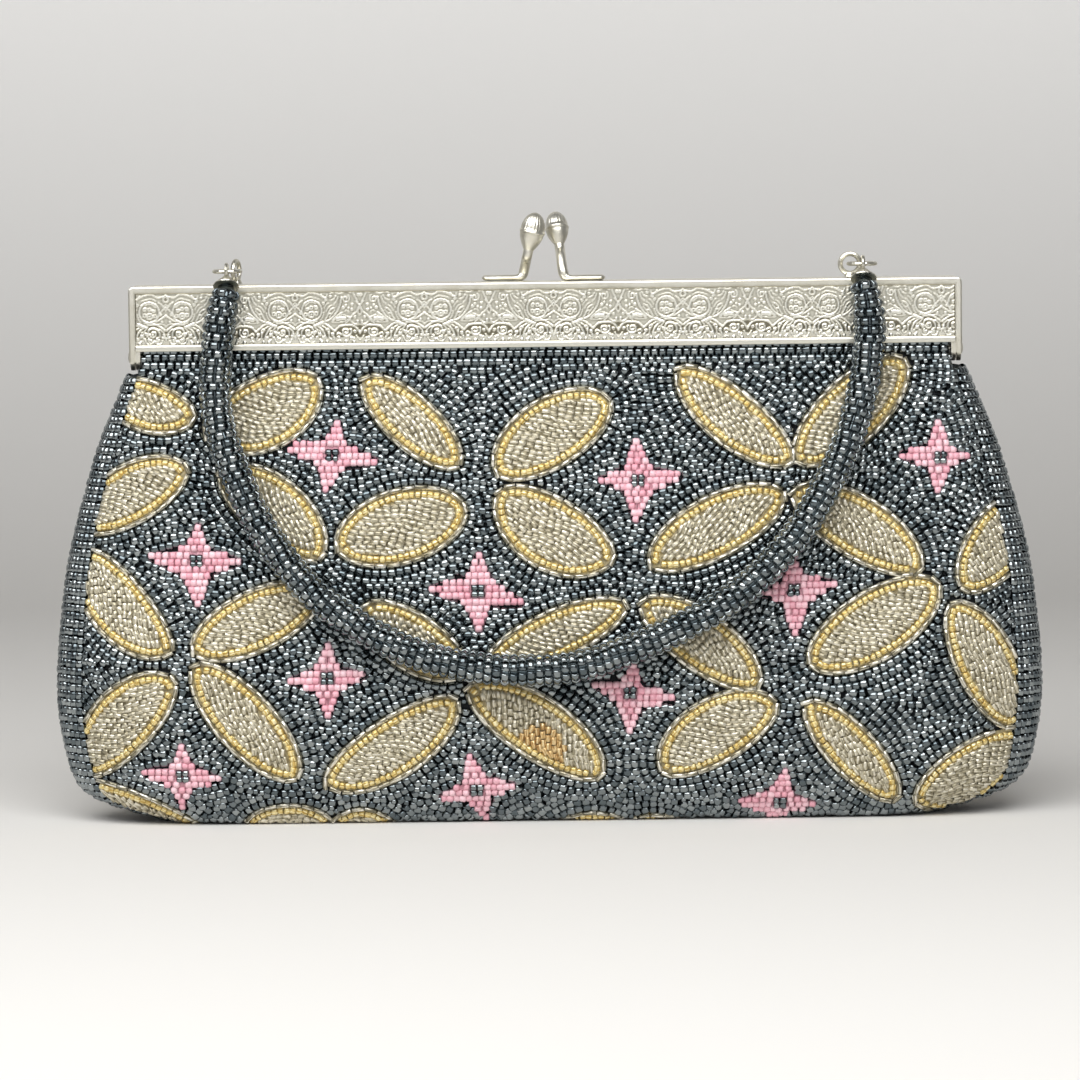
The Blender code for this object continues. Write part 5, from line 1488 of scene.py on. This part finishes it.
# Half width, middle and radius of a ring or boss
RINGS = (
    (0.15, 15.4, 10.5, 0.62), (0.18, 11.4, 7.6, 2.35), (0.16, 11.5, 6.7, 0.62), (0.20, 11.5, 6.7, 0.08),
    (0.14, 10.3, 6.9, 0.36), (0.14, 12.8, 6.7, 0.34), (0.14, 11.5, 8.3, 0.32), (0.16, 6.5, 2.1, 0.26),
    (0.17, 1.4, 0.35, 0.16), (0.17, 3.3, 0.45, 0.18), (0.17, 7.8, 0.5, 0.16), (0.17, 9.1, 0.4, 0.2),
    (0.15, 1.15, 6.1, 0.2), (0.16, 3.9, 8.2, 0.22), (0.15, 3.3, 8.8, 0.16), (0.15, 1.9, 7.8, 0.18),
    (0.14, 1.8, 9.0, 0.18), (0.14, 2.7, 8.1, 0.14), (0.15, 6.9, 10.9, 0.2), (0.14, 7.2, 6.9, 0.14),
    (0.15, 14.1, 7.1, 0.2), (0.14, 0.3, 11.2, 0.25), (0.14, 14.4, 5.4, 0.15), (0.15, 8.6, 9.3, 0.25),
)


def half_repeat():
    """Points along every stroke of half a repeat, each with the stroke's half width."""
    rows = []
    for wide, *points in STROKES:
        line = smooth_line([(x, y, 0.0) for x, y in zip(points[::2], points[1::2])], STROKE_STEP)
        rows += [(point.x, point.y, wide) for point in line]
    for wide, x, y, radius, *winding in SCROLLS + RINGS:
        turns, start = winding or (1.0, 0.0)
        steps = max(LEAST_POINTS, round(SCROLL_POINTS * radius * turns))
        for i in range(steps):
            share = i / steps
            angle = start + math.tau * share * turns
            reach = radius * (1 - SCROLL_WIND * share) if winding else radius
            rows.append((x + reach * math.cos(angle), y + reach * math.sin(angle), wide))
    return np.array(rows)


def relief_map():
    """Height from 0 to 1 over one repeat, by rows from the rail up, with the leaf pair in its middle."""
    half = half_repeat()
    span, tall = REPEAT * MILLIMETRES, PLATE_HEIGHT * MILLIMETRES
    strokes = np.vstack([half, half * np.array([-1.0, 1.0, 1.0])])
    strokes = np.vstack([strokes + np.array([shift, 0.0, 0.0]) for shift in (-span, 0.0, span)])
    strokes = strokes[np.abs(strokes[:, 0]) < span / 2 + 1.0]
    strokes[:, 1] *= tall / STROKES_HEIGHT
    columns = round(REPEAT / RELIEF_STEP)
    across = (np.arange(columns) / columns - 0.5) * span
    up = np.linspace(0.0, tall, round(PLATE_HEIGHT / RELIEF_STEP) + 1)
    band = np.interp(np.abs(across), *zip(*BAND_LINE))
    height = UPPER_GROUND * np.clip((up[:, None] - band[None, :]) / BAND_EDGE + 0.5, 0.0, 1.0)
    for x, y, wide in strokes:
        reach = wide * STROKE_REACH
        j1, j2 = np.searchsorted(across, (x - reach, x + reach))
        i1, i2 = np.searchsorted(up, (y - reach, y + reach))
        if j1 == j2 or i1 == i2:
            continue
        gap = np.hypot(across[None, j1:j2] - x, up[i1:i2, None] - y) / wide
        bump = np.sqrt(np.clip(1 - np.maximum(0.0, gap - STROKE_CREST) ** 2, 0.0, 1.0)) * (STROKE_RISE + wide)
        block = height[i1:i2, j1:j2]
        np.maximum(block, np.minimum(bump, 1.0), out=block)
    return height


def relief_plate(name, facing, material):
    """A thin closed slab on a frame half: a plain rail below, and the scrollwork over it."""
    repeat = relief_map()
    columns = round(2 * PLATE_HALF_WIDTH / RELIEF_STEP) + 1
    xs = np.linspace(-PLATE_HALF_WIDTH, PLATE_HALF_WIDTH, columns)
    place = ((xs - REPEAT_START) / REPEAT % 1.0) * repeat.shape[1]
    low = np.floor(place).astype(int)
    share = place - low
    height = repeat[:, low % repeat.shape[1]] * (1 - share) + repeat[:, (low + 1) % repeat.shape[1]] * share
    up = np.linspace(0.0, 1.0, repeat.shape[0])[:, None]
    noise = np.random.default_rng(SEED).normal(0.0, RELIEF_NOISE, height.shape)
    # Tarnish stays beside what stands up
    near = range(-CAVITY_REACH, CAVITY_REACH + 1)
    around = np.mean([np.roll(height, (i, j), (0, 1)) for i in near for j in near], axis=0)
    tone = np.clip(height - CAVITY_DARKENING * np.maximum(0.0, around - height), 0.0, 1.0)
    # The plate's top rows and both ends take the darkest tone: painted shade of the groove beside the rim
    for edge in (tone[-GROOVE_SHADE_ROWS:], tone[:, :GROOVE_SHADE_ROWS], tone[:, -GROOVE_SHADE_ROWS:]):
        edge[:] = 0.0
    ground = PLATE_FOOT_GROUND + (PLATE_TOP_GROUND - PLATE_FOOT_GROUND) * np.sqrt(up)
    field = ground + RELIEF_HEIGHT * np.clip(height + noise, 0.0, HIGHEST)
    rail = np.array(RAIL_SECTION)
    zs = np.concatenate([RAIL_LOW_Z + (RAIL_HIGH_Z - RAIL_LOW_Z) * rail[:, 0],
                         np.linspace(RAIL_HIGH_Z + RELIEF_STEP / 2, PLATE_HIGH_Z, repeat.shape[0])])
    ys = np.vstack([np.tile((RAIL_CREST + rail[:, 1])[:, None], (1, columns)), field])
    tone = np.vstack([np.full((len(rail), columns), RAIL_TONE), tone])
    rows = len(zs)
    count = rows * columns
    points = np.zeros((count + 4, 3))
    points[:count, 0] = np.tile(xs, rows)
    points[:count, 1] = facing * ys.ravel()
    points[:count, 2] = np.repeat(zs, columns)
    points[count:] = [(x, facing * PLATE_BACK, z) for x, z in ((xs[0], zs[0]), (xs[-1], zs[0]),
                                                              (xs[-1], zs[-1]), (xs[0], zs[-1]))]
    i, j = np.meshgrid(np.arange(rows - 1), np.arange(columns - 1), indexing="ij")
    corner = (i * columns + j).ravel()
    faces = np.stack([corner, corner + 1, corner + columns + 1, corner + columns], axis=1).tolist()
    a, b, c, d = range(count, count + 4)
    faces.append([d, c, b, a])
    faces.append([a, b] + list(range(columns - 1, -1, -1)))
    faces.append([b, c] + [k * columns + columns - 1 for k in range(rows - 1, -1, -1)])
    faces.append([c, d] + [(rows - 1) * columns + k for k in range(columns)])
    faces.append([d, a] + [k * columns for k in range(rows)])
    if facing > 0:
        faces = [face[::-1] for face in faces]
    piece = mesh_object(name, points, faces, [material])
    layer = piece.data.attributes.new("tone", "FLOAT", "POINT")
    layer.data.foreach_set("value", np.concatenate([tone.ravel(), np.zeros(4)]))
    return piece


def relief_tones(tree):
    """Colours by the relief's stored tone: its height, with painted shade in the groove at its top and ends.
    """
    colours = ("#7d7867", "#d8d5c7", "#f1efe5")
    return add_ramp(tree, attribute(tree, "tone"), colours, (0.0, UPPER_GROUND, FULL_TONE))


# The same silver plate where it is embossed: dark tarnish in the deep ground, painted shade in the groove
# round it, bright on what stands up
relief_silver = surface_material("embossed_aged_silver_plate", relief_tones, 0.34, 1.0)[0]
plates = [relief_plate("front_embossed_plate", -1, relief_silver),
          relief_plate("rear_embossed_plate", 1, relief_silver)]

# Stage: half its width, where its floor ends behind, the radius of its bend and its height
STAGE_HALF_WIDTH, FLOOR_END, STAGE_BEND, STAGE_HEIGHT = 7.0, 0.5, 0.35, 1.6
BEND_STEPS = 16
# The backdrop's own light seen by the camera grows up to this much over this height
GLOW, GLOW_HEIGHT = 0.32, 0.25


def make_stage():
    """A pale floor that curves up into a backdrop."""
    floor, tree, shader = new_material("pale_floor")
    shader.inputs["Base Color"].default_value = hex_colour("#e4e2de")
    shader.inputs["Roughness"].default_value = 0.9
    place = add_node(tree, "ShaderNodeTexCoord").outputs["Object"]
    height = add_node(tree, "ShaderNodeSeparateXYZ", links={0: place}).outputs["Z"]
    lift = made(tree, "ShaderNodeMapRange", {1: 0.0, 2: GLOW_HEIGHT, 3: 0.0, 4: GLOW}, {0: height})
    path = add_node(tree, "ShaderNodeLightPath").outputs
    seen = add_math(tree, "MAXIMUM", path["Is Camera Ray"], path["Is Glossy Ray"])
    seen = add_math(tree, "MAXIMUM", seen, path["Is Transmission Ray"])
    tree.links.new(add_math(tree, "MULTIPLY", seen, lift), shader.inputs["Emission Strength"])
    shader.inputs["Emission Color"].default_value = hex_colour("#ffffff")
    line = [(-STAGE_HALF_WIDTH, 0.0)]
    for i in range(BEND_STEPS + 1):
        angle = math.pi / 2 * i / BEND_STEPS
        line.append((FLOOR_END + STAGE_BEND * math.sin(angle), STAGE_BEND * (1 - math.cos(angle))))
    line.append((FLOOR_END + STAGE_BEND, STAGE_HEIGHT))
    points = [(x, y, z) for y, z in line for x in (-STAGE_HALF_WIDTH, STAGE_HALF_WIDTH)]
    faces = [[2 * i, 2 * i + 1, 2 * i + 3, 2 * i + 2] for i in range(len(line) - 1)]
    stage = mesh_object("floor_and_backdrop", points, faces, [floor])


def add_lamp(name, place, target, size, power):
    """A white rectangular lamp that points at a target."""
    data = bpy.data.lights.new(name, "AREA")
    data.shape = "RECTANGLE"
    data.size, data.size_y = size
    data.energy = power
    lamp = link_into(bpy.data.objects.new(name, data))
    lamp.location = place
    lamp.rotation_mode = "QUATERNION"
    lamp.rotation_quaternion = (Vector(target) - Vector(place)).to_track_quat("-Z", "Y")


make_stage()
add_lamp("key", (-0.12, -0.45, 0.60), (0.0, 0.0, 0.06), (1.10, 0.50), 7.6)
add_lamp("front_card", (0.05, -0.95, 0.22), (0.0, 0.0, 0.08), (1.20, 0.50), 1.0)
world = bpy.data.worlds.new("studio")
world.use_nodes = True
world.node_tree.nodes["Background"].inputs["Color"].default_value = hex_colour("#e8e8ea")
world.node_tree.nodes["Background"].inputs["Strength"].default_value = 0.2
bpy.context.scene.world = world
bpy.context.scene.view_settings.view_transform = "Standard"

# What rides on which body
for piece in (front_cloth, lining_piece, front_facing, *front_beads):
    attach(piece, "bag")
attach(plates[0], "bag")
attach(plates[1], "rear_half")
for piece, node_name, body, slot in clasp_pieces:
    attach(piece, body)
    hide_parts(node_name)
for piece in (rear_cloth, rear_facing, *rear_beads):
    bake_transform(piece)
for piece in (*side_cloths, *side_facings, *side_beads):
    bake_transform(piece)
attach(rope, "handle")
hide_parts("handle_rope")
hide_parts("main_panel")
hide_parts("rear_panel_top")
for (word, _), piece in zip(SIDES, side_cloths):
    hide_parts("gusset_" + word, "gusset_top_" + word)
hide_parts("lining")
